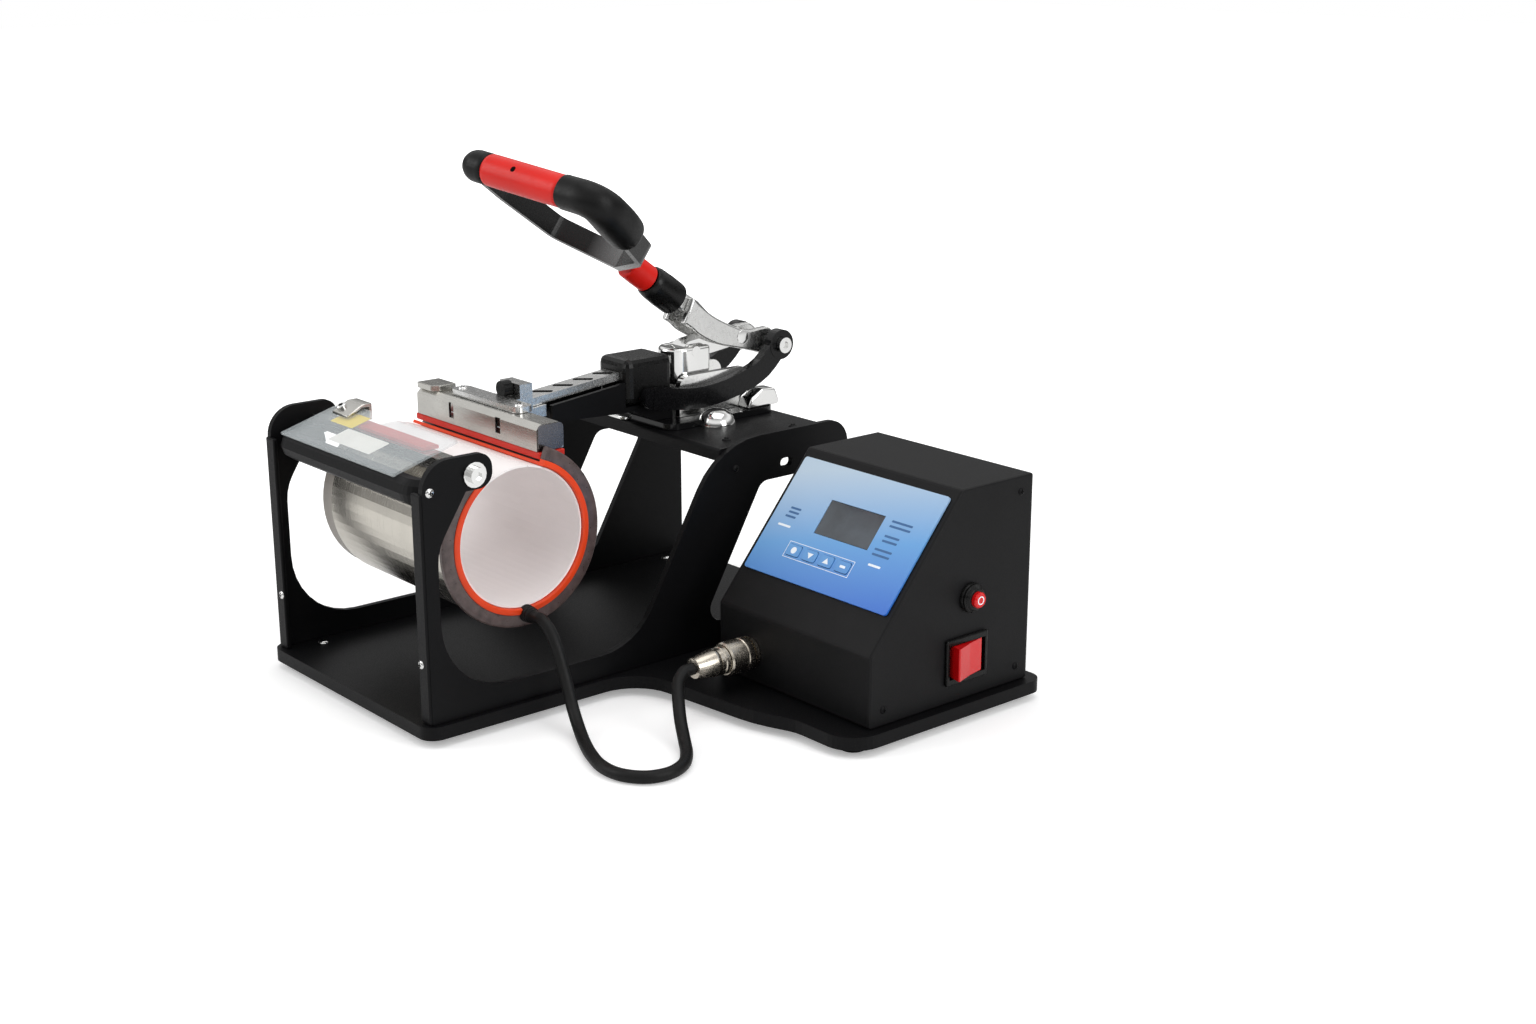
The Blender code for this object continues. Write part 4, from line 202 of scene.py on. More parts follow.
red_silicone = surface("red_silicone", (0.60, 0.020, 0.008), 0.42, mottle=0.08, grain=500, bump=0.06, specular=0.3)
orange_silicone = surface("orange_silicone", (0.78, 0.060, 0.012), 0.36, mottle=0.10, grain=600, bump=0.08,
                          specular=0.3)
sponge = surface("sponge", (0.085, 0.058, 0.055), 0.40, mottle=0.35, cloud=160, rough_vary=0.15, grain=500, bump=0.3,
                 depth=0.0003, coat=0.25)
# The liner is white; its faint pink is painted reflection of the red silicone round it
liner = surface("liner", (0.96, 0.91, 0.90), 0.40, mottle=0.02, cloud=25, grain=500, bump=0.08)
cover_clear = surface("clear_cover", (0.74, 0.80, 0.82), 0.12, mottle=0.02, grain=80, bump=0.02, alpha=0.26,
                      coat=0.3)
rubber = surface("black_rubber", (0.005, 0.005, 0.005), 0.50, rough_vary=0.10, grain=1200, bump=0.2, specular=0.22)
grip_rubber = surface("grip_rubber", (0.0035, 0.0035, 0.0035), 0.42, rough_vary=0.08, grain=700, bump=0.08,
                      specular=0.2)
plastic = surface("black_plastic", (0.004, 0.004, 0.004), 0.30, rough_vary=0.08, grain=500, bump=0.05, specular=0.22)
red_gloss = surface("red_plastic", (0.60, 0.004, 0.006), 0.22, mottle=0.06, rough_vary=0.04, grain=300, bump=0.02,
                    coat=0.25, coat_rough=0.08, specular=0.3)
red_grip = surface("red_grip", (0.66, 0.010, 0.005), 0.38, mottle=0.07, rough_vary=0.08, grain=700, bump=0.06,
                   specular=0.3)
nickel = surface("nickel", (0.60, 0.55, 0.47), 0.26, 1.0, mottle=0.06, cloud=90, rough_vary=0.05, grain=800,
                 bump=0.03)
glass = surface("display_glass", (0.040, 0.050, 0.062), 0.15, mottle=0.30, cloud=60, rough_vary=0.03, bump=0.0,
                coat=0.3, coat_rough=0.05)
laminate = surface("laminate", (0.02, 0.16, 0.06), 0.4, mottle=0.2, cloud=300, grain=900)
iron = surface("varnished_iron", (0.20, 0.19, 0.17), 0.45, 0.6, mottle=0.2, cloud=200, grain=900, bump=0.2)
white_print = surface("white_print", (0.85, 0.90, 0.95), 0.45, mottle=0.03, bump=0.02)
navy_print = surface("navy_print", (0.03, 0.12, 0.30), 0.45, mottle=0.05, bump=0.02)
label_white = surface("bare_label", (0.80, 0.79, 0.75), 0.4, mottle=0.05, cloud=60, bump=0.02)
label_yellow = surface("bare_label_yellow", (0.80, 0.62, 0.05), 0.4, mottle=0.05, bump=0.02)
# Near-black painted shade, laid as thin discs and sheets where screw sockets, screw crosses, the bar's slots and the
# grip's dimple lie in shade
painted_hole_shade = surface("painted_hole_shade", (0.002, 0.002, 0.002), 0.7, bump=0.05, specular=0.04)


def panel_material(name, pale, strong, rough=0.34):
    """Film printed with a shade that runs from pale at the upper left to a strong blue at the lower right."""
    made, tree, bsdf = shader(name)
    ramp = tree.nodes.new("ShaderNodeValToRGB")
    ramp.color_ramp.elements[0].color = (*pale, 1)
    ramp.color_ramp.elements[1].color = (*strong, 1)
    middle = ramp.color_ramp.elements.new(0.5)
    middle.color = (0.12, 0.34, 0.68, 1)
    tree.links.new(distance_along(tree, (2.6, -3.0, -11.5), -1.62, -0.52), ramp.inputs["Fac"])
    tree.links.new(ramp.outputs["Color"], bsdf.inputs["Base Color"])
    grained(tree, bsdf, noise(tree, 1500), rough, 0.05)
    return made


panel_blue = panel_material("panel_blue", (0.46, 0.58, 0.70), (0.006, 0.11, 0.55))
key_blue = panel_material("key_blue", (0.36, 0.52, 0.74), (0.02, 0.15, 0.50))


def split_material(name, axis, places, low, high, metals, rough):
    """A surface that changes from one finish to another between two places along a direction."""
    made, tree, bsdf = shader(name)
    shade = distance_along(tree, axis, *places)
    tree.links.new(mixed(tree, shade, low, high), bsdf.inputs["Base Color"])
    metal = tree.nodes.new("ShaderNodeMapRange")
    metal.inputs["To Min"].default_value = metals[0]
    metal.inputs["To Max"].default_value = metals[1]
    tree.links.new(shade, metal.inputs["Value"])
    tree.links.new(metal.outputs["Result"], bsdf.inputs["Metallic"])
    grained(tree, bsdf, noise(tree, 500), rough, 0.05)
    bsdf.inputs["Specular IOR Level"].default_value = 0.3
    return made


def height(z):
    """A working-frame height in the world's metres."""
    return (SHIFT.z + z) * MM


def lever_place(distance):
    """How far along the lever's direction, in the world, a place on its line lies."""
    return P(*on_lever(distance)).dot(Vector(LEVER_LINE))


jacket_red = split_material("band_jacket", (1, -0.6, -1), (-0.040, -0.032), (0.36, 0.33, 0.30),
                            (0.60, 0.020, 0.008), (0, 0), 0.40)
bracket_mix = split_material("bracket", (0, 0, 1), (height(130.4), height(130.9)), (0.005, 0.005, 0.0055),
                             (0.80, 0.80, 0.79), (0, 1), 0.17)
strip_mix = split_material("stirrup", LEVER_LINE, (lever_place(76), lever_place(90)), (0.20, 0.20, 0.20),
                           (0.004, 0.004, 0.004), (0.8, 0.0), 0.26)


NODE_MATERIALS = {
    "band_jacket": jacket_red, "band_shell": steel, "heater_mat": orange_silicone, "band_sponge": sponge,
    "band_liner": liner, "pressed_pad": red_silicone, "front_pad": red_silicone, "front_cover": cover_clear,
    "pusher_channel": channel_steel, "front_clamp_bar": channel_steel, "yoke": alloy, "slide_bar": alloy,
    "plunger_block": chrome, "toggle_bracket": bracket_mix, "toggle_link": chrome, "link_pin": chrome,
    "lever_arm": alloy, "link_arm_near": arm_black, "link_arm_far": arm_black, "pivot_bolt": chrome,
    "ear_bolt_near": chrome, "ear_bolt_far": chrome, "box_shell": box_coat, "display_panel": panel_blue,
    "lcd_window": glass, "rocker_housing": plastic, "breaker_body": plastic, "rocker_cap": red_gloss,
    "breaker_button": red_gloss, "socket": nickel, "plug_ring": nickel, "plug_body": nickel,
    "mains_inlet": plastic, "circuit_board": laminate, "transformer": iron, "guide_sleeve": plastic,
    "lever_ferrule": plastic, "lever_collar": red_grip, "grip_sleeve": red_grip, "handle_loop": strip_mix,
    "side_sleeve": grip_rubber, "grip_end_cap": grip_rubber, "pressure_knob": plastic, "cable_gland": rubber,
    "heater_cable": rubber,
}
ROUNDED = {
    "side_plate_near": 0.5, "side_plate_far": 0.5, "base_plate": 0.8, "cross_plate": 0.6, "guide_arm": 0.6,
    "toggle_bracket": 0.9, "plunger_block": 1.2, "yoke": 1.0, "lever_arm": 1.4, "toggle_link": 0.6,
    "link_arm_near": 1.2, "link_arm_far": 1.2, "slide_bar": 0.4, "front_clamp_bar": 0.4, "pusher_channel": 0.3,
    "rocker_cap": 2.0, "key_1": 0.3, "key_2": 0.3, "key_3": 0.3, "key_4": 0.3, "ear_bolt_near": 0.4,
    "ear_bolt_far": 0.4, "pivot_bolt": 0.4, "pressure_knob": 0.5, "front_cover": 0.3, "front_pad": 0.5,
}


def round_edges(thing, width):
    bevel = thing.modifiers.new("Edges", "BEVEL")
    bevel.width = width * MM
    bevel.segments = 3
    bevel.limit_method = "ANGLE"
    bevel.angle_limit = BEVEL_ANGLE
    return bevel


def dress_nodes():
    for name, node in nodes.items():
        fallback = powder
        if name.startswith("foot_"):
            fallback = rubber
        if name.startswith("key_"):
            fallback = key_blue
        for slot in node.material_slots:
            slot.material = NODE_MATERIALS.get(name, fallback)
        width = ROUNDED.get(name)
        if width:
            round_edges(node, width).harden_normals = True


# Shapes
def finish_piece(name, shape, material, body, slot, edge=0.0, replaced=()):
    """Turns a shape into a piece that rides a body and may replace CAD nodes."""
    mesh = bpy.data.meshes.new(name)
    bmesh.ops.recalc_face_normals(shape, faces=shape.faces)
    shape.to_mesh(mesh)
    shape.free()
    piece = bpy.data.objects.new(name, mesh)
    bpy.context.scene.collection.objects.link(piece)
    mesh.materials.append(material)
    mesh.shade_smooth()
    mesh.set_sharp_from_angle(angle=SHARP_ANGLE)
    if edge:
        round_edges(piece, edge)
    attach(piece, body)
    if replaced:
        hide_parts(*replaced)
    return piece


def skin(shape, rings, loop=False):
    """Joins rings of points by faces, and closes the ends, or joins them to each other in a loop."""
    for a, b in zip(rings, rings[1:] + rings[:1] if loop else rings[1:]):
        for k in range(len(a)):
            m = (k + 1) % len(a)
            shape.faces.new((a[k], a[m], b[m], b[k]))
    if not loop:
        shape.faces.new(rings[0][::-1])
        shape.faces.new(rings[-1])


def prism(name, outline, low, high, place, material, body, slot, **more):
    """A flat outline given thickness along the third axis of a frame."""
    shape = bmesh.new()
    bottom = [shape.verts.new(place @ Vector((x, y, low))) for x, y in outline]
    top = [shape.verts.new(place @ Vector((x, y, high))) for x, y in outline]
    shape.faces.new(bottom[::-1])
    shape.faces.new(top)
    for i in range(len(outline)):
        k = (i + 1) % len(outline)
        shape.faces.new((bottom[i], bottom[k], top[k], top[i]))
    return finish_piece(name, shape, material, body, slot, **more)


def turned(name, profile, place, direction, material, body, slot, sides=40, loop=False, **more):
    """A (radius, height) profile turned about a line; a loop closes on itself and leaves its middle open."""
    shape = bmesh.new()
    turn = Vector(direction).to_track_quat("Z", "Y").to_matrix().to_4x4()
    rings = []
    for r, h in profile:
        ring = []
        for k in range(sides):
            angle = 2 * math.pi * k / sides
            ring.append(shape.verts.new(
                WORKING @ (Vector(place) + turn @ Vector((r * math.cos(angle), r * math.sin(angle), h))),
            ))
        rings.append(ring)
    skin(shape, rings, loop)
    return finish_piece(name, shape, material, body, slot, **more)


def sweep(name, path, sizes, material, body, slot, up, sides=24, power=2.0, **more):
    """A closed form along a path, with a rounded oval section whose half width and height vary."""
    shape = bmesh.new()
    rings = []
    for i, point in enumerate(path):
        before, after = path[max(i - 1, 0)], path[min(i + 1, len(path) - 1)]
        along = (after - before).normalized()
        side = along.cross(up).normalized()
        over = side.cross(along).normalized()
        half_width, half_height = sizes[i]
        ring = []
        for k in range(sides):
            angle = 2 * math.pi * k / sides
            c, s = math.cos(angle), math.sin(angle)
            x = math.copysign(abs(c) ** (2 / power), c) * half_width
            y = math.copysign(abs(s) ** (2 / power), s) * half_height
            ring.append(shape.verts.new(WORKING @ (point + side * x + over * y)))
        rings.append(ring)
    skin(shape, rings)
    return finish_piece(name, shape, material, body, slot, **more)


def rectangle(low_x, low_y, high_x, high_y, radius=0.0, steps=5):
    """A rectangle's outline, with rounded corners where a radius is given."""
    if radius <= 0:
        return [(low_x, low_y), (high_x, low_y), (high_x, high_y), (low_x, high_y)]
    points = []
    centres = ((high_x - radius, high_y - radius, 0), (low_x + radius, high_y - radius, 90),
               (low_x + radius, low_y + radius, 180), (high_x - radius, low_y + radius, 270))
    for x, y, start in centres:
        for k in range(steps + 1):
            angle = math.radians(start + 90 * k / steps)
            points.append((x + radius * math.cos(angle), y + radius * math.sin(angle)))
    return points


def circle(x, y, radius, sides=24):
    angles = [2 * math.pi * k / sides for k in range(sides)]
    return [(x + radius * math.cos(a), y + radius * math.sin(a)) for a in angles]


def smooth_path(route, steps=6):
    """Points along a smooth curve through a route's points."""
    ends = [2 * route[0] - route[1], *route, 2 * route[-1] - route[-2]]
    made = []
    for a, b, c, d in zip(ends, ends[1:], ends[2:], ends[3:]):
        for k in range(steps):
            t = k / steps
            made.append(0.5 * (2 * b + (c - a) * t + (2 * a - 5 * b + 4 * c - d) * t * t
                               + (3 * b - a - 3 * c + d) * t * t * t))
    made.append(route[-1])
    return made


# Heater cable, on the route that the solid cable has
CABLE_ROUTE = (
    (-9.7, 79.0, 46.6), (-1.0, 79.0, 46.4), (6.5, 79.3, 41.5), (12.5, 79.6, 32.5),
    (17.5, 79.7, 22.0), (23.5, 79.0, 11.0), (31.0, 77.0, 0.5), (43.0, 72.5, -6.8),
    (58.0, 65.5, -9.0), (75.0, 58.0, -9.0), (92.0, 53.0, -9.0), (107.5, 54.0, -9.0),
    (119.5, 62.5, -9.0), (123.5, 75.5, -9.0), (119.0, 89.0, -9.0), (108.0, 100.0, -8.8),
    (95.0, 108.5, -6.5), (83.0, 115.5, -0.5), (73.0, 122.0, 7.5), (66.0, 127.5, 14.2),
    (63.2, 134.0, 18.5), (63.0, 140.7, 19.0),
)


def heater_cable(plug_shell):
    start, end = Vector(CABLE_ROUTE[0]), Vector(CABLE_ROUTE[-1])
    inner = [start + Vector((3, 0, 0)), *(Vector(p) for p in CABLE_ROUTE[1:-1]), end - Vector((0, 3, 0))]
    points = [start, *smooth_path(inner), end]
    curve = bpy.data.curves.new("heater_lead", "CURVE")
    curve.dimensions = "3D"
    curve.bevel_depth = 3.75 * MM
    curve.bevel_resolution = 6
    curve.use_fill_caps = True
    spline = curve.splines.new("POLY")
    spline.points.add(len(points) - 1)
    for knot, point in zip(spline.points, points):
        knot.co = (*P(*point), 1)
    lead = bpy.data.objects.new("heater_lead", curve)
    bpy.context.scene.collection.objects.link(lead)
    curve.materials.append(rubber)
    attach(lead, "frame")
    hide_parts("heater_cable")


# Fasteners
def socket_screw(name, place, direction, radius, height, body):
    """A cap screw's head, with its six-sided socket painted on it as a near-black disc of shade."""
    turned(name, [
        (radius, 0.0), (radius, height - 0.5), (radius - 0.5, height), (radius * 0.55, height),
    ], place, direction, chrome, body, "chrome", 28)
    axis = Vector(direction).normalized()
    # The socket is a near-black disc of painted shade on the head's face
    turned(name + "_socket", [
        (radius * 0.5, 0.0), (radius * 0.5, 0.08),
    ], Vector(place) + axis * height, direction, painted_hole_shade, body, "black_plastic", 6)


def pan_screw(name, place, direction, radius, body, material=chrome):
    """A round-headed screw, with its cross painted on it as a near-black mark of shade."""
    rise = radius * 0.45
    profile = [(radius * math.cos(a), rise * math.sin(a)) for a in (0, 0.25, 0.5, 0.75, 1.0, 1.25, 1.45)]
    turned(name, profile, place, direction, material, body, "chrome", 24)
    turn = Vector(direction).to_track_quat("Z", "Y").to_matrix().to_4x4()
    frame_here = WORKING @ Matrix.Translation(place) @ turn
    arm, half = radius * 0.5, radius * 0.12
    cross = [(arm, half), (half, half), (half, arm), (-half, arm), (-half, half), (-arm, half), (-arm, -half),
             (-half, -half), (-half, -arm), (half, -arm), (half, -half), (arm, -half)]
    # The cross is a near-black mark of painted shade on the head
    prism(name + "_cross", cross, rise * 0.9, rise + 0.06, frame_here, painted_hole_shade, body, "black_plastic")


def stand_fasteners():
    for name, place in {
        "post_screw_near": (-7.2, 0.0, 35.7), "post_screw_far": (-172.3, 0.0, 35.7),
    }.items():
        pan_screw(name, place, (0, -1, 0), 2.6, "frame")
    pan_screw("post_screw_side", (0.0, 6.5, 137.2), (1, 0, 0), 2.9, "frame")
    pan_screw("bridge_side_screw", (0.0, 226.9, 112.9), (1, 0, 0), 2.4, "frame", powder)
    for name, y in {"foot_screw_front": 24.0, "foot_screw_rear": 300.0}.items():
        for side, x in {"near": -12.0, "far": -167.5}.items():
            pan_screw(f"{name}_{side}", (x, y, 0.0), (0, 0, 1), 3.2, "frame")
    for name, (x, y) in {
        "bridge_screw_a": (-20.0, 292.0), "bridge_screw_b": (-159.5, 292.0),
        "bridge_screw_c": (-20.0, 236.0), "bridge_screw_d": (-159.5, 236.0),
    }.items():
        pan_screw(name, (x, y, 126.0), (0, 0, 1), 3.0, "frame", powder)
    for name, (y, z) in {
        "box_screw_a": (196.0, 10.0), "box_screw_b": (306.0, 10.0), "box_screw_c": (306.0, 119.0),
    }.items():
        pan_screw(name, (BOX_FACE, y, z), (1, 0, 0), 2.3, "frame", powder)


# Front clamp and cover
def front_details():
    rise = math.atan(0.29)
    lay = WORKING @ Matrix.Translation((0, 8.8, 142.45)) @ Matrix.Rotation(rise, 4, "X")
    prism("cover_label_a", rectangle(-148, 20, -122, 34, 1), -0.12, -0.06, lay, label_yellow, "frame", "white_liner")
    prism("cover_label_b", rectangle(-124, 4, -76, 19, 1), -0.12, -0.06, lay, label_white, "frame", "white_liner")
    clip = [
        (33, 150.4), (33, 152.2), (44, 157.8), (50.5, 157.8), (50.5, 147.3), (48.5, 147.3), (48.5, 155.6), (44, 155.6),
    ]
    prism("clamp_clip", clip, -154, -136, SIDE, channel_steel, "frame", "chrome", edge=0.5)
    socket_screw("clamp_clip_screw", (-150.5, 38.0, 154.3), (0, -0.45, 1), 3.2, 2.2, "frame")


# Band details
def band_lip(name, section, material, slot):
    """A flared lip round the band's near end, open at the top where the band is."""
    shape = bmesh.new()
    rings = []
    start, swept, steps, band_end = 69, 305, 96, -20.9
    for k in range(steps + 1):
        angle = math.radians(start - swept * k / steps)
        rings.append([
            shape.verts.new(P(band_end + h, BAND_Y + r * math.cos(angle), BAND_Z + r * math.sin(angle)))
            for r, h in section
        ])
    skin(shape, rings)
    finish_piece(name, shape, material, "frame", slot)


def band_details():
    prism("ring_tab", [(117.5, 122.5), (121.5, 120.5), (124, 124), (120, 127)], -19.0, -17.0, SIDE, rubber,
          "frame", "black_rubber", edge=0.6)
    band_lip("sponge_lip", [
        (47.4, 0.0), (47.4, 4.2), (53.6, 4.2), (54.9, 3.2), (55.2, 1.2), (54.2, 0.0),
    ], sponge, "sponge")
    band_lip("mat_lip", [
        (43.3, 0.0), (43.3, 4.6), (44.0, 5.2), (46.4, 5.2), (47.2, 4.6), (47.2, 0.0),
    ], orange_silicone, "orange_silicone")
    turned("gland_boot", [
        (5.3, 0.0), (5.3, 1.6), (4.7, 2.0), (4.7, 2.8), (5.1, 3.1), (5.1, 4.1), (4.5, 4.5), (4.5, 5.2), (4.8, 5.5),
        (4.8, 6.4), (4.2, 7.0), (4.0, 8.6),
    ], (-17.7, 79.0, 46.6), (1, 0, 0), rubber, "frame", "black_rubber", 28, replaced=("cable_gland",))


# Toggle details
def toggle_details():
    dome = [(12.6, 0.0), (12.6, 1.0), (12.1, 3.2), (10.9, 5.8), (8.8, 8.0), (5.9, 9.6), (3.1, 10.3), (0.9, 10.5)]
    turned("bracket_dome", dome, (-56.5, 258.0, 126.05), (0, 0, 1), chrome, "frame", "chrome", 36)
    turned("bracket_dome_far", dome, (-123.0, 258.0, 126.05), (0, 0, 1), chrome, "frame", "chrome", 36)
    heel = [(289, 130.35), (314.5, 130.35), (316.5, 132), (312.5, 141.5), (302, 142.6), (292, 137)]
    prism("bracket_heel", heel, -73, -61, SIDE, chrome, "frame", "chrome", edge=1.2)
    prism("bracket_heel_far", heel, -118.5, -106.5, SIDE, chrome, "frame", "chrome", edge=1.2)
    prism("bracket_tab", rectangle(-131, 217.5, -103, 231, 5), 126.1, 128.4, PLAN, chrome, "frame", "chrome",
          edge=0.5)
    turned("bracket_tab_nub", [(4.0, 0.0), (4.0, 2.2), (2.8, 3.6), (1.0, 4.2)], (-125, 223, 128.3), (0, 0, 1),
           chrome, "frame", "chrome", 24)
    for side in (-1, 1):
        turned(f"crank_rivet_{side + 1}", [(4.6, 0.0), (4.4, 0.25), (3.0, 0.42)],
               (MIDDLE + side * 12.5, 297.85, 175.5), (side, 0, 0), chrome, "lever", "chrome", 24)
    ribs, reach = 24, 4.88
    for k in range(ribs):
        angle = 2 * math.pi * k / ribs
        x, z = MIDDLE + reach * math.cos(angle), 165.0 + reach * math.sin(angle)
        turned(f"knob_rib_{k}", [(0.22, -3.0), (0.22, 3.0)], (x, 117.05, z), (0, 1, 0), plastic, "pressure_knob",
               "black_powdercoat", 6)
    bend = [math.pi * k / 16 for k in range(17)]
    drum = [(MIDDLE + CHEEK_OUTER * math.cos(a), 252 - CHEEK_OUTER * math.sin(a)) for a in bend]
    drum += [
        (MIDDLE - CHEEK_OUTER, 270.5), (MIDDLE - CHEEK_INNER, 270.5), (MIDDLE - CHEEK_INNER, 248),
        (MIDDLE + CHEEK_INNER, 248), (MIDDLE + CHEEK_INNER, 270.5), (MIDDLE + CHEEK_OUTER, 270.5),
    ]
    prism("drum", drum, 150.0, 174.0, PLAN, chrome, "plunger", "chrome", edge=2.0, replaced=("plunger_block",))
    prism("channel_end", rectangle(95.0, 141.6, 113.0, 157.2, 3), -23.4, -22.4, SIDE, dark_steel, "plunger",
          "stainless")
    prism("channel_lug", [(-156, 95), (-140, 95), (-136, 99), (-136, 111), (-156, 111)], 157.6, 161.4, PLAN,
          channel_steel, "plunger", "stainless", edge=0.4)
    slant_cos, slant_sin = 0.819, 0.574     # the slots lie at 35 degrees across the bar
    slot = [
        (c * slant_cos - d * slant_sin, c * slant_sin + d * slant_cos) for c, d in rectangle(-6.6, -1.9, 6.6, 1.9, 1.2)
    ]
    for k in range(4):
        y = 145.0 + 15.5 * k
        here = WORKING @ Matrix.Translation((MIDDLE, y, 159.05 + 0.105 * (y - 145))) @ Matrix.Rotation(0.1046, 4, "X")
        # Each slot is a thin near-black sheet of painted shade on the bar's top
        prism(f"bar_slot_{k}", slot, 0.02, 0.07, here, painted_hole_shade, "plunger", "black_plastic")
    for share in (-0.42, 0.42):
        x = MIDDLE + share * 74
        pan_screw(f"yoke_screw_{int(share * 100) + 50}", (x, 106.5, 161.5), (0, 0, 1), 3.0, "plunger")


# Handle
SIDE_ROUTE = (
    (125.2, 40.0), (133, 41.6), (140, 42.8), (150, 43.7), (157.5, 44.3), (163, 43.3), (166.6, 40.2), (168.3, 35),
    (GRIP, 29), (GRIP, 20.3),
)


def handle_details():
    up = Vector((0, math.sin(LEVER_ANGLE), math.cos(LEVER_ANGLE)))
    path = smooth_path([on_loop(*place) for place in SIDE_ROUTE], 5)
    count = len(path)
    sizes = []
    for i in range(count):
        t = i / (count - 1)
        blunt = 1 - 0.16 * max(0.0, 1 - t * 16) ** 2
        fullness = 1.0 + 0.16 * math.exp(-((t - 0.25) / 0.4) ** 2)
        sizes.append((10.4 * blunt * fullness, 10.2 * blunt * fullness))
    sweep("side_grip", path, sizes, grip_rubber, "lever", "black_rubber", up, 32, 2.3, replaced=("side_sleeve",))
    places = (43.2, 43.9, 47, 50, 53, 55.5, 58, 60.5, 62.3, 63.4)
    cap = [on_loop(GRIP, -x) for x in places]
    sizes = []
    for x in places:
        reach = 10.0 * math.sqrt(max(0.06, 1 - max(0.0, (x - 53) / 10.6) ** 2))
        half = min(reach, 9.5 + (x - places[0]))
        sizes.append((half, half))
    sweep("end_cap", cap, sizes, grip_rubber, "lever", "black_rubber", up, 32, 2.0, replaced=("grip_end_cap",))
    bar = [on_loop(GRIP, x) for x in (-42.9, -42.1, -40, -30, -15, 0, 17, 19.3, 19.9)]
    sizes = [(half, half) for half in (9.4, 9.9, 10, 10, 10, 10, 10, 9.9, 9.4)]
    sweep("red_tube", bar, sizes, red_grip, "lever", "red_grip", up, 40, 2.0, replaced=("grip_sleeve",))
    # The grip's dimple is a small near-black disc of painted shade, turned towards the camera
    dimple = on_loop(GRIP, -17.0)
    grip_line = (on_loop(GRIP, 10) - on_loop(GRIP, -10)).normalized()
    out = Vector(CAMERA_PLACE) - dimple
    out = (out - grip_line * out.dot(grip_line)).normalized()
    out = Matrix.Rotation(math.radians(-25), 3, grip_line) @ out
    turned("grip_dimple", [(1.9, 9.96), (1.3, 10.03)], dimple, out, painted_hole_shade, "lever", "black_plastic", 20)
    under = smooth_path([Vector(c) for c in (
        (249, 190.5, 0), (255, 186.5, 0), (262.4, 180.5, 0), (277, 173.2, 0), (300.5, 166.5, 0), (322, 159.4, 0),
    )], 4)
    top = smooth_path([Vector(c) for c in (
        (331.5, 169, 0), (322, 178.6, 0), (313.6, 179.5, 0), (300.6, 179.6, 0), (277.1, 190.3, 0), (263.6, 200.0, 0),
        (257, 206.5, 0),
    )], 4)
    outline = [(c.x, c.y) for c in under + top]
    prism("cheek_near", outline, MIDDLE + CHEEK_INNER, MIDDLE + CHEEK_OUTER, SIDE, alloy, "lever", "cast_alloy",
          edge=1.2, replaced=("lever_arm",))
    prism("cheek_far", outline, MIDDLE - CHEEK_OUTER, MIDDLE - CHEEK_INNER, SIDE, alloy, "lever", "cast_alloy",
          edge=1.2)
    neck = [
        on_lever(distance, 0, lift)
        for distance, lift in ((24, -4.6), (24, 6.0), (8, 7.0), (-6, 5.0), (-6, -6.0), (8, -5.6))
    ]
    prism("lever_neck", [(c.y, c.z) for c in neck], MIDDLE - 7.3, MIDDLE + 7.3, SIDE, alloy, "lever", "cast_alloy",
          edge=1.5)
    ferrule = [(9.2, 0.0), (10.8, 1.2), (11.2, 3.0), (11.3, 13.0), (10.9, 22.0), (10.2, 25.6), (9.2, 26.7)]
    turned("ferrule", ferrule, on_lever(20), LEVER_LINE, plastic, "lever", "black_plastic", 36,
           replaced=("lever_ferrule",))
    collar = [(8.2, 0.0), (9.0, 0.8), (9.1, 10.0), (8.9, 18.6), (8.0, 19.5)]
    turned("collar", collar, on_lever(47.2), LEVER_LINE, red_grip, "lever", "red_grip", 36,
           replaced=("lever_collar",))


# Control box
def display_print():
    """Plain bars in place of the panel's words, and a thin frame round the keys."""
    low = 1.52
    high = low + 0.05

    def mark(name, outline, material):
        prism(name, outline, low, high, SLOPE, material, "frame", "panel_blue")

    def ring(name, x, y, width, height, line):
        for k, (a, b, c, d) in enumerate((
            (x, y, x + width, y + line), (x, y + height - line, x + width, y + height),
            (x, y + line, x + line, y + height - line), (x + width - line, y + line, x + width, y + height - line),
        )):
            mark(f"{name}_{k}", rectangle(a, b, c, d), white_print)

    for k, (x, y, width, tone) in enumerate((
        (50, 70.4, 9, navy_print), (50, 67.6, 9, navy_print), (49, 64.6, 9, navy_print), (47, 58.2, 11, white_print),
        (131, 80.8, 17, navy_print), (131, 77.6, 17, navy_print), (131.5, 71.0, 12, navy_print),
        (131.5, 67.8, 12, navy_print), (129.5, 61.8, 14, navy_print), (129.5, 58.4, 14, navy_print),
        (131, 51.6, 10, white_print),
    )):
        mark(f"bar_{k}", rectangle(x, y - 0.7, x + width, y + 0.7, 0.5), tone)
    glyphs()
    ring("keys_frame", 64.2, 39.6, 57.0, 10.8, 0.35)


def glyphs():
    """A plain mark on each key: a disc, a triangle down, a triangle up and a bar."""
    out = 0.3 + 0.5 + 1.2 + 0.01            # just off the key's top
    marks = {
        1: circle(71.2, 45, 2.2), 2: [(83.0, 46.6), (88.0, 46.6), (85.5, 43.0)],
        3: [(97.3, 43.4), (102.3, 43.4), (99.8, 47.0)], 4: rectangle(111.8, 44.2, 116.4, 45.8, 0.5),
    }
    for number, outline in marks.items():
        prism(f"key_mark_{number}_0", outline, out, out + 0.04, SLOPE, white_print, f"key_{number}", "key_blue")


def on_breaker(radius, angle):
    return BREAKER_Y + radius * math.cos(angle), BREAKER_Z + radius * math.sin(angle)


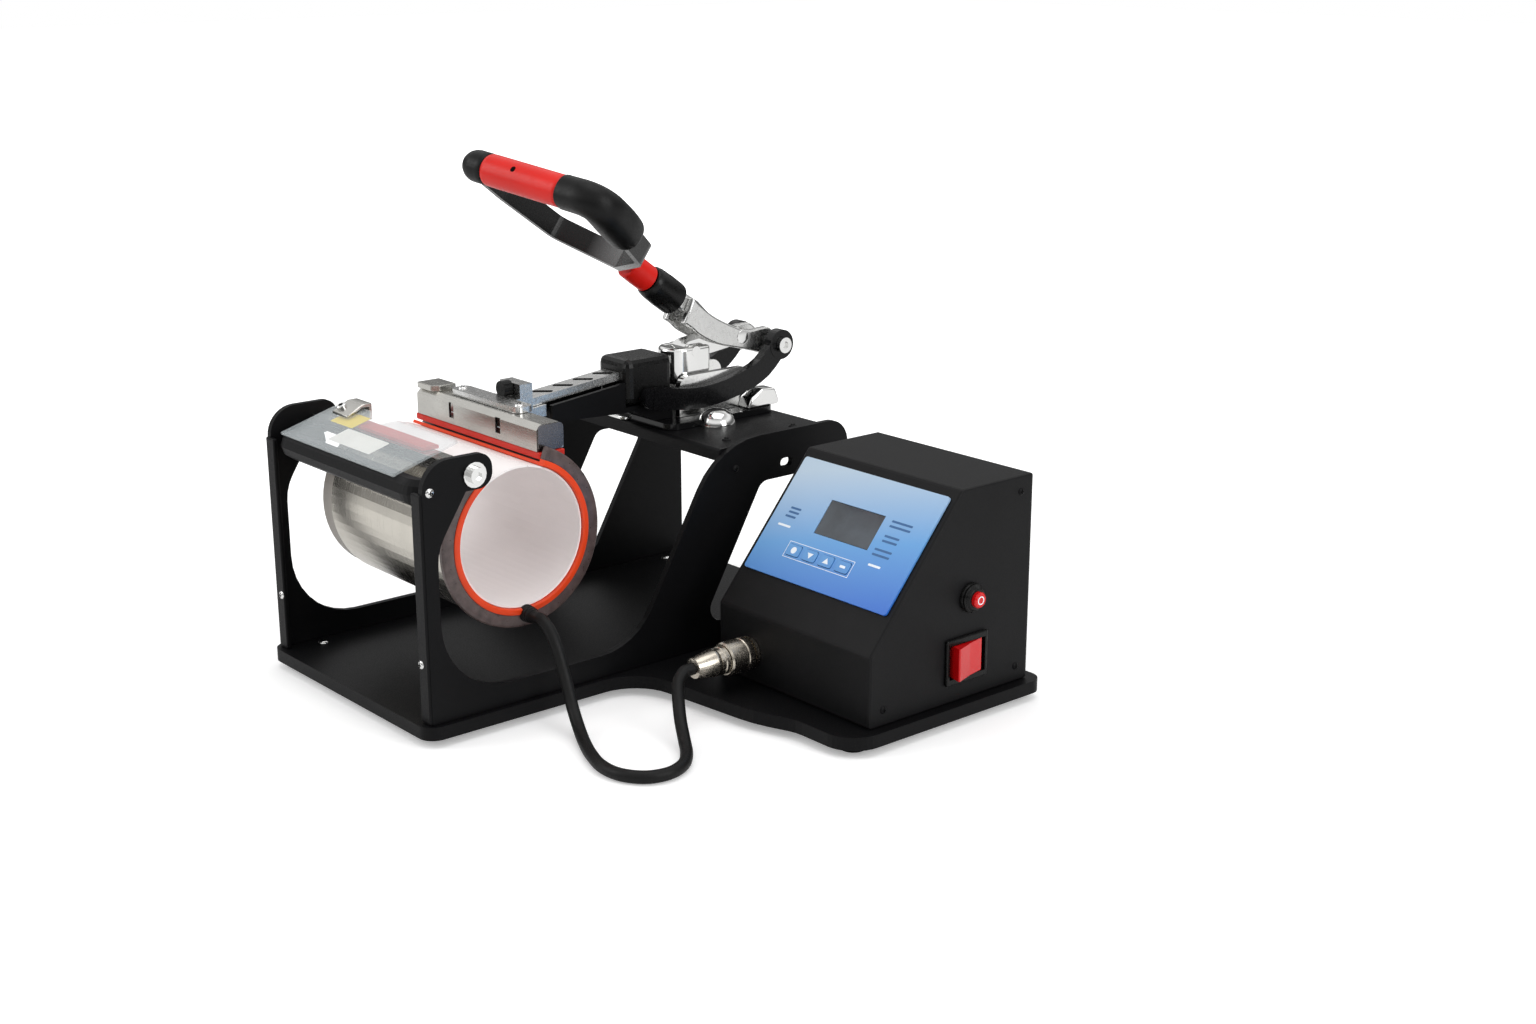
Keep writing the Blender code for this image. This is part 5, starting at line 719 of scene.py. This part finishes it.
def switch_details():
    """A ring printed on the breaker's button, in short pieces, and the breaker's nut."""
    inner, outer, parts = 1.9, 2.6, 18
    for k in range(parts):
        a, b = 2 * math.pi * k / parts, 2 * math.pi * (k + 1) / parts
        outline = [on_breaker(outer, a), on_breaker(outer, b), on_breaker(inner, b), on_breaker(inner, a)]
        prism(f"breaker_mark_{k}", outline, 8.78, 8.86, BOX_SIDE, white_print, "breaker_button", "red_plastic")
    collar = [(9.0, 0.3), (9.0, 1.6), (8.4, 2.4), (6.6, 5.6), (6.2, 5.9), (5.4, 5.9)]
    turned("breaker_nut", collar, (BOX_FACE, BREAKER_Y, BREAKER_Z), (1, 0, 0), plastic, "frame", "black_plastic")


def plug_details():
    connector = (63.0, BOX_FRONT, 19.0)
    ring = [(6.95, 3.4), (9.7, 3.4), (10.3, 4.2), (10.3, 8.0), (9.7, 8.5), (9.7, 9.3), (10.3, 9.8), (10.3, 20.2),
            (9.4, 21.2), (6.95, 21.2)]
    turned("coupling_nut", ring, connector, (0, -1, 0), nickel, "plug_ring", "nickel", 48, loop=True,
           replaced=("plug_ring",))
    body = [(8.6, 21.6), (8.6, 24.2), (8.0, 24.8), (7.9, 27.4), (8.4, 28.0), (8.4, 30.5), (7.4, 36.5), (6.8, 40.2),
            (6.6, 41.0), (6.2, 43.8), (5.2, 44.2)]
    return turned("plug_shell", body, connector, (0, -1, 0), nickel, "frame", "nickel", 40,
                  replaced=("plug_body",))


# Floor, backdrop and light
def stage():
    """A pale floor that keeps its shadows near the object and goes over to white away from it."""
    shape = bmesh.new()
    bmesh.ops.create_grid(shape, x_segments=1, y_segments=1, size=8)
    mesh = bpy.data.meshes.new("floor")
    shape.to_mesh(mesh)
    shape.free()
    floor = bpy.data.objects.new("floor", mesh)
    bpy.context.scene.collection.objects.link(floor)
    made, tree, bsdf = shader("floor")
    bsdf.inputs["Base Color"].default_value = (0.86, 0.86, 0.86, 1)
    bsdf.inputs["Roughness"].default_value = 0.75
    glow = tree.nodes.new("ShaderNodeEmission")
    glow.inputs["Color"].default_value = (1, 1, 1, 1)
    path = tree.nodes.new("ShaderNodeLightPath")
    place = tree.nodes.new("ShaderNodeTexCoord")
    reach = tree.nodes.new("ShaderNodeVectorMath")
    reach.operation = "LENGTH"
    tree.links.new(place.outputs["Object"], reach.inputs[0])
    brighter = tree.nodes.new("ShaderNodeMapRange")
    brighter.inputs["From Min"].default_value = 0.25
    brighter.inputs["From Max"].default_value = 1.6
    brighter.inputs["To Min"].default_value = 0.30
    brighter.inputs["To Max"].default_value = 1.0
    tree.links.new(reach.outputs["Value"], brighter.inputs["Value"])
    seen = tree.nodes.new("ShaderNodeMath")
    seen.operation = "MULTIPLY"
    tree.links.new(path.outputs["Is Camera Ray"], seen.inputs[0])
    tree.links.new(brighter.outputs["Result"], seen.inputs[1])
    tree.links.new(seen.outputs[0], glow.inputs["Strength"])
    total = tree.nodes.new("ShaderNodeAddShader")
    tree.links.new(bsdf.outputs[0], total.inputs[0])
    tree.links.new(glow.outputs[0], total.inputs[1])
    tree.links.new(total.outputs[0], tree.nodes["Material Output"].inputs["Surface"])
    mesh.materials.append(made)


def world_light():
    """A plain white behind the object, and for its light and reflections a soft ramp from below to above."""
    world = bpy.data.worlds.new("studio")
    bpy.context.scene.world = world
    world.use_nodes = True
    tree = world.node_tree
    background = tree.nodes["Background"]
    place = tree.nodes.new("ShaderNodeTexCoord")
    split = tree.nodes.new("ShaderNodeSeparateXYZ")
    tree.links.new(place.outputs["Generated"], split.inputs["Vector"])
    ramp = tree.nodes.new("ShaderNodeValToRGB")
    ramp.color_ramp.elements[0].color = (0.50, 0.50, 0.50, 1)
    ramp.color_ramp.elements[1].color = (0.62, 0.62, 0.62, 1)
    for where, shade in ((0.04, 0.22), (0.16, 0.10), (0.30, 0.30), (0.42, 0.95), (0.62, 1.0), (0.80, 0.55)):
        ramp.color_ramp.elements.new(where).color = (shade, shade, shade, 1)
    tree.links.new(split.outputs["Z"], ramp.inputs["Fac"])
    path = tree.nodes.new("ShaderNodeLightPath")
    plain = tree.nodes.new("ShaderNodeMix")
    plain.data_type = "RGBA"
    plain.inputs["B"].default_value = (1, 1, 1, 1)
    tree.links.new(path.outputs["Is Camera Ray"], plain.inputs["Factor"])
    tree.links.new(ramp.outputs["Color"], plain.inputs["A"])
    tree.links.new(plain.outputs["Result"], background.inputs["Color"])


def lamp(name, place, target, size, power):
    light = bpy.data.lights.new(name, "AREA")
    light.shape = "RECTANGLE"
    light.size, light.size_y = size
    light.energy = power
    made = bpy.data.objects.new(name, light)
    bpy.context.scene.collection.objects.link(made)
    made.location = place
    made.rotation_euler = (Vector(target) - Vector(place)).to_track_quat("-Z", "Y").to_euler()


def studio():
    world_light()
    stage()
    lamp("top", (0.1, 0.1, 1.6), (0, 0, 0.1), (1.3, 1.3), 7.5)
    lamp("left", (-0.9, -1.3, 0.9), (0, 0, 0.1), (0.9, 1.1), 9)
    lamp("right", (1.6, 0.3, 0.8), (0, 0, 0.1), (0.8, 1.0), 10)


bpy.context.scene.view_settings.view_transform = "Standard"
dress_nodes()
heater_cable(plug_details())
stand_fasteners()
front_details()
band_details()
toggle_details()
handle_details()
display_print()
switch_details()
studio()
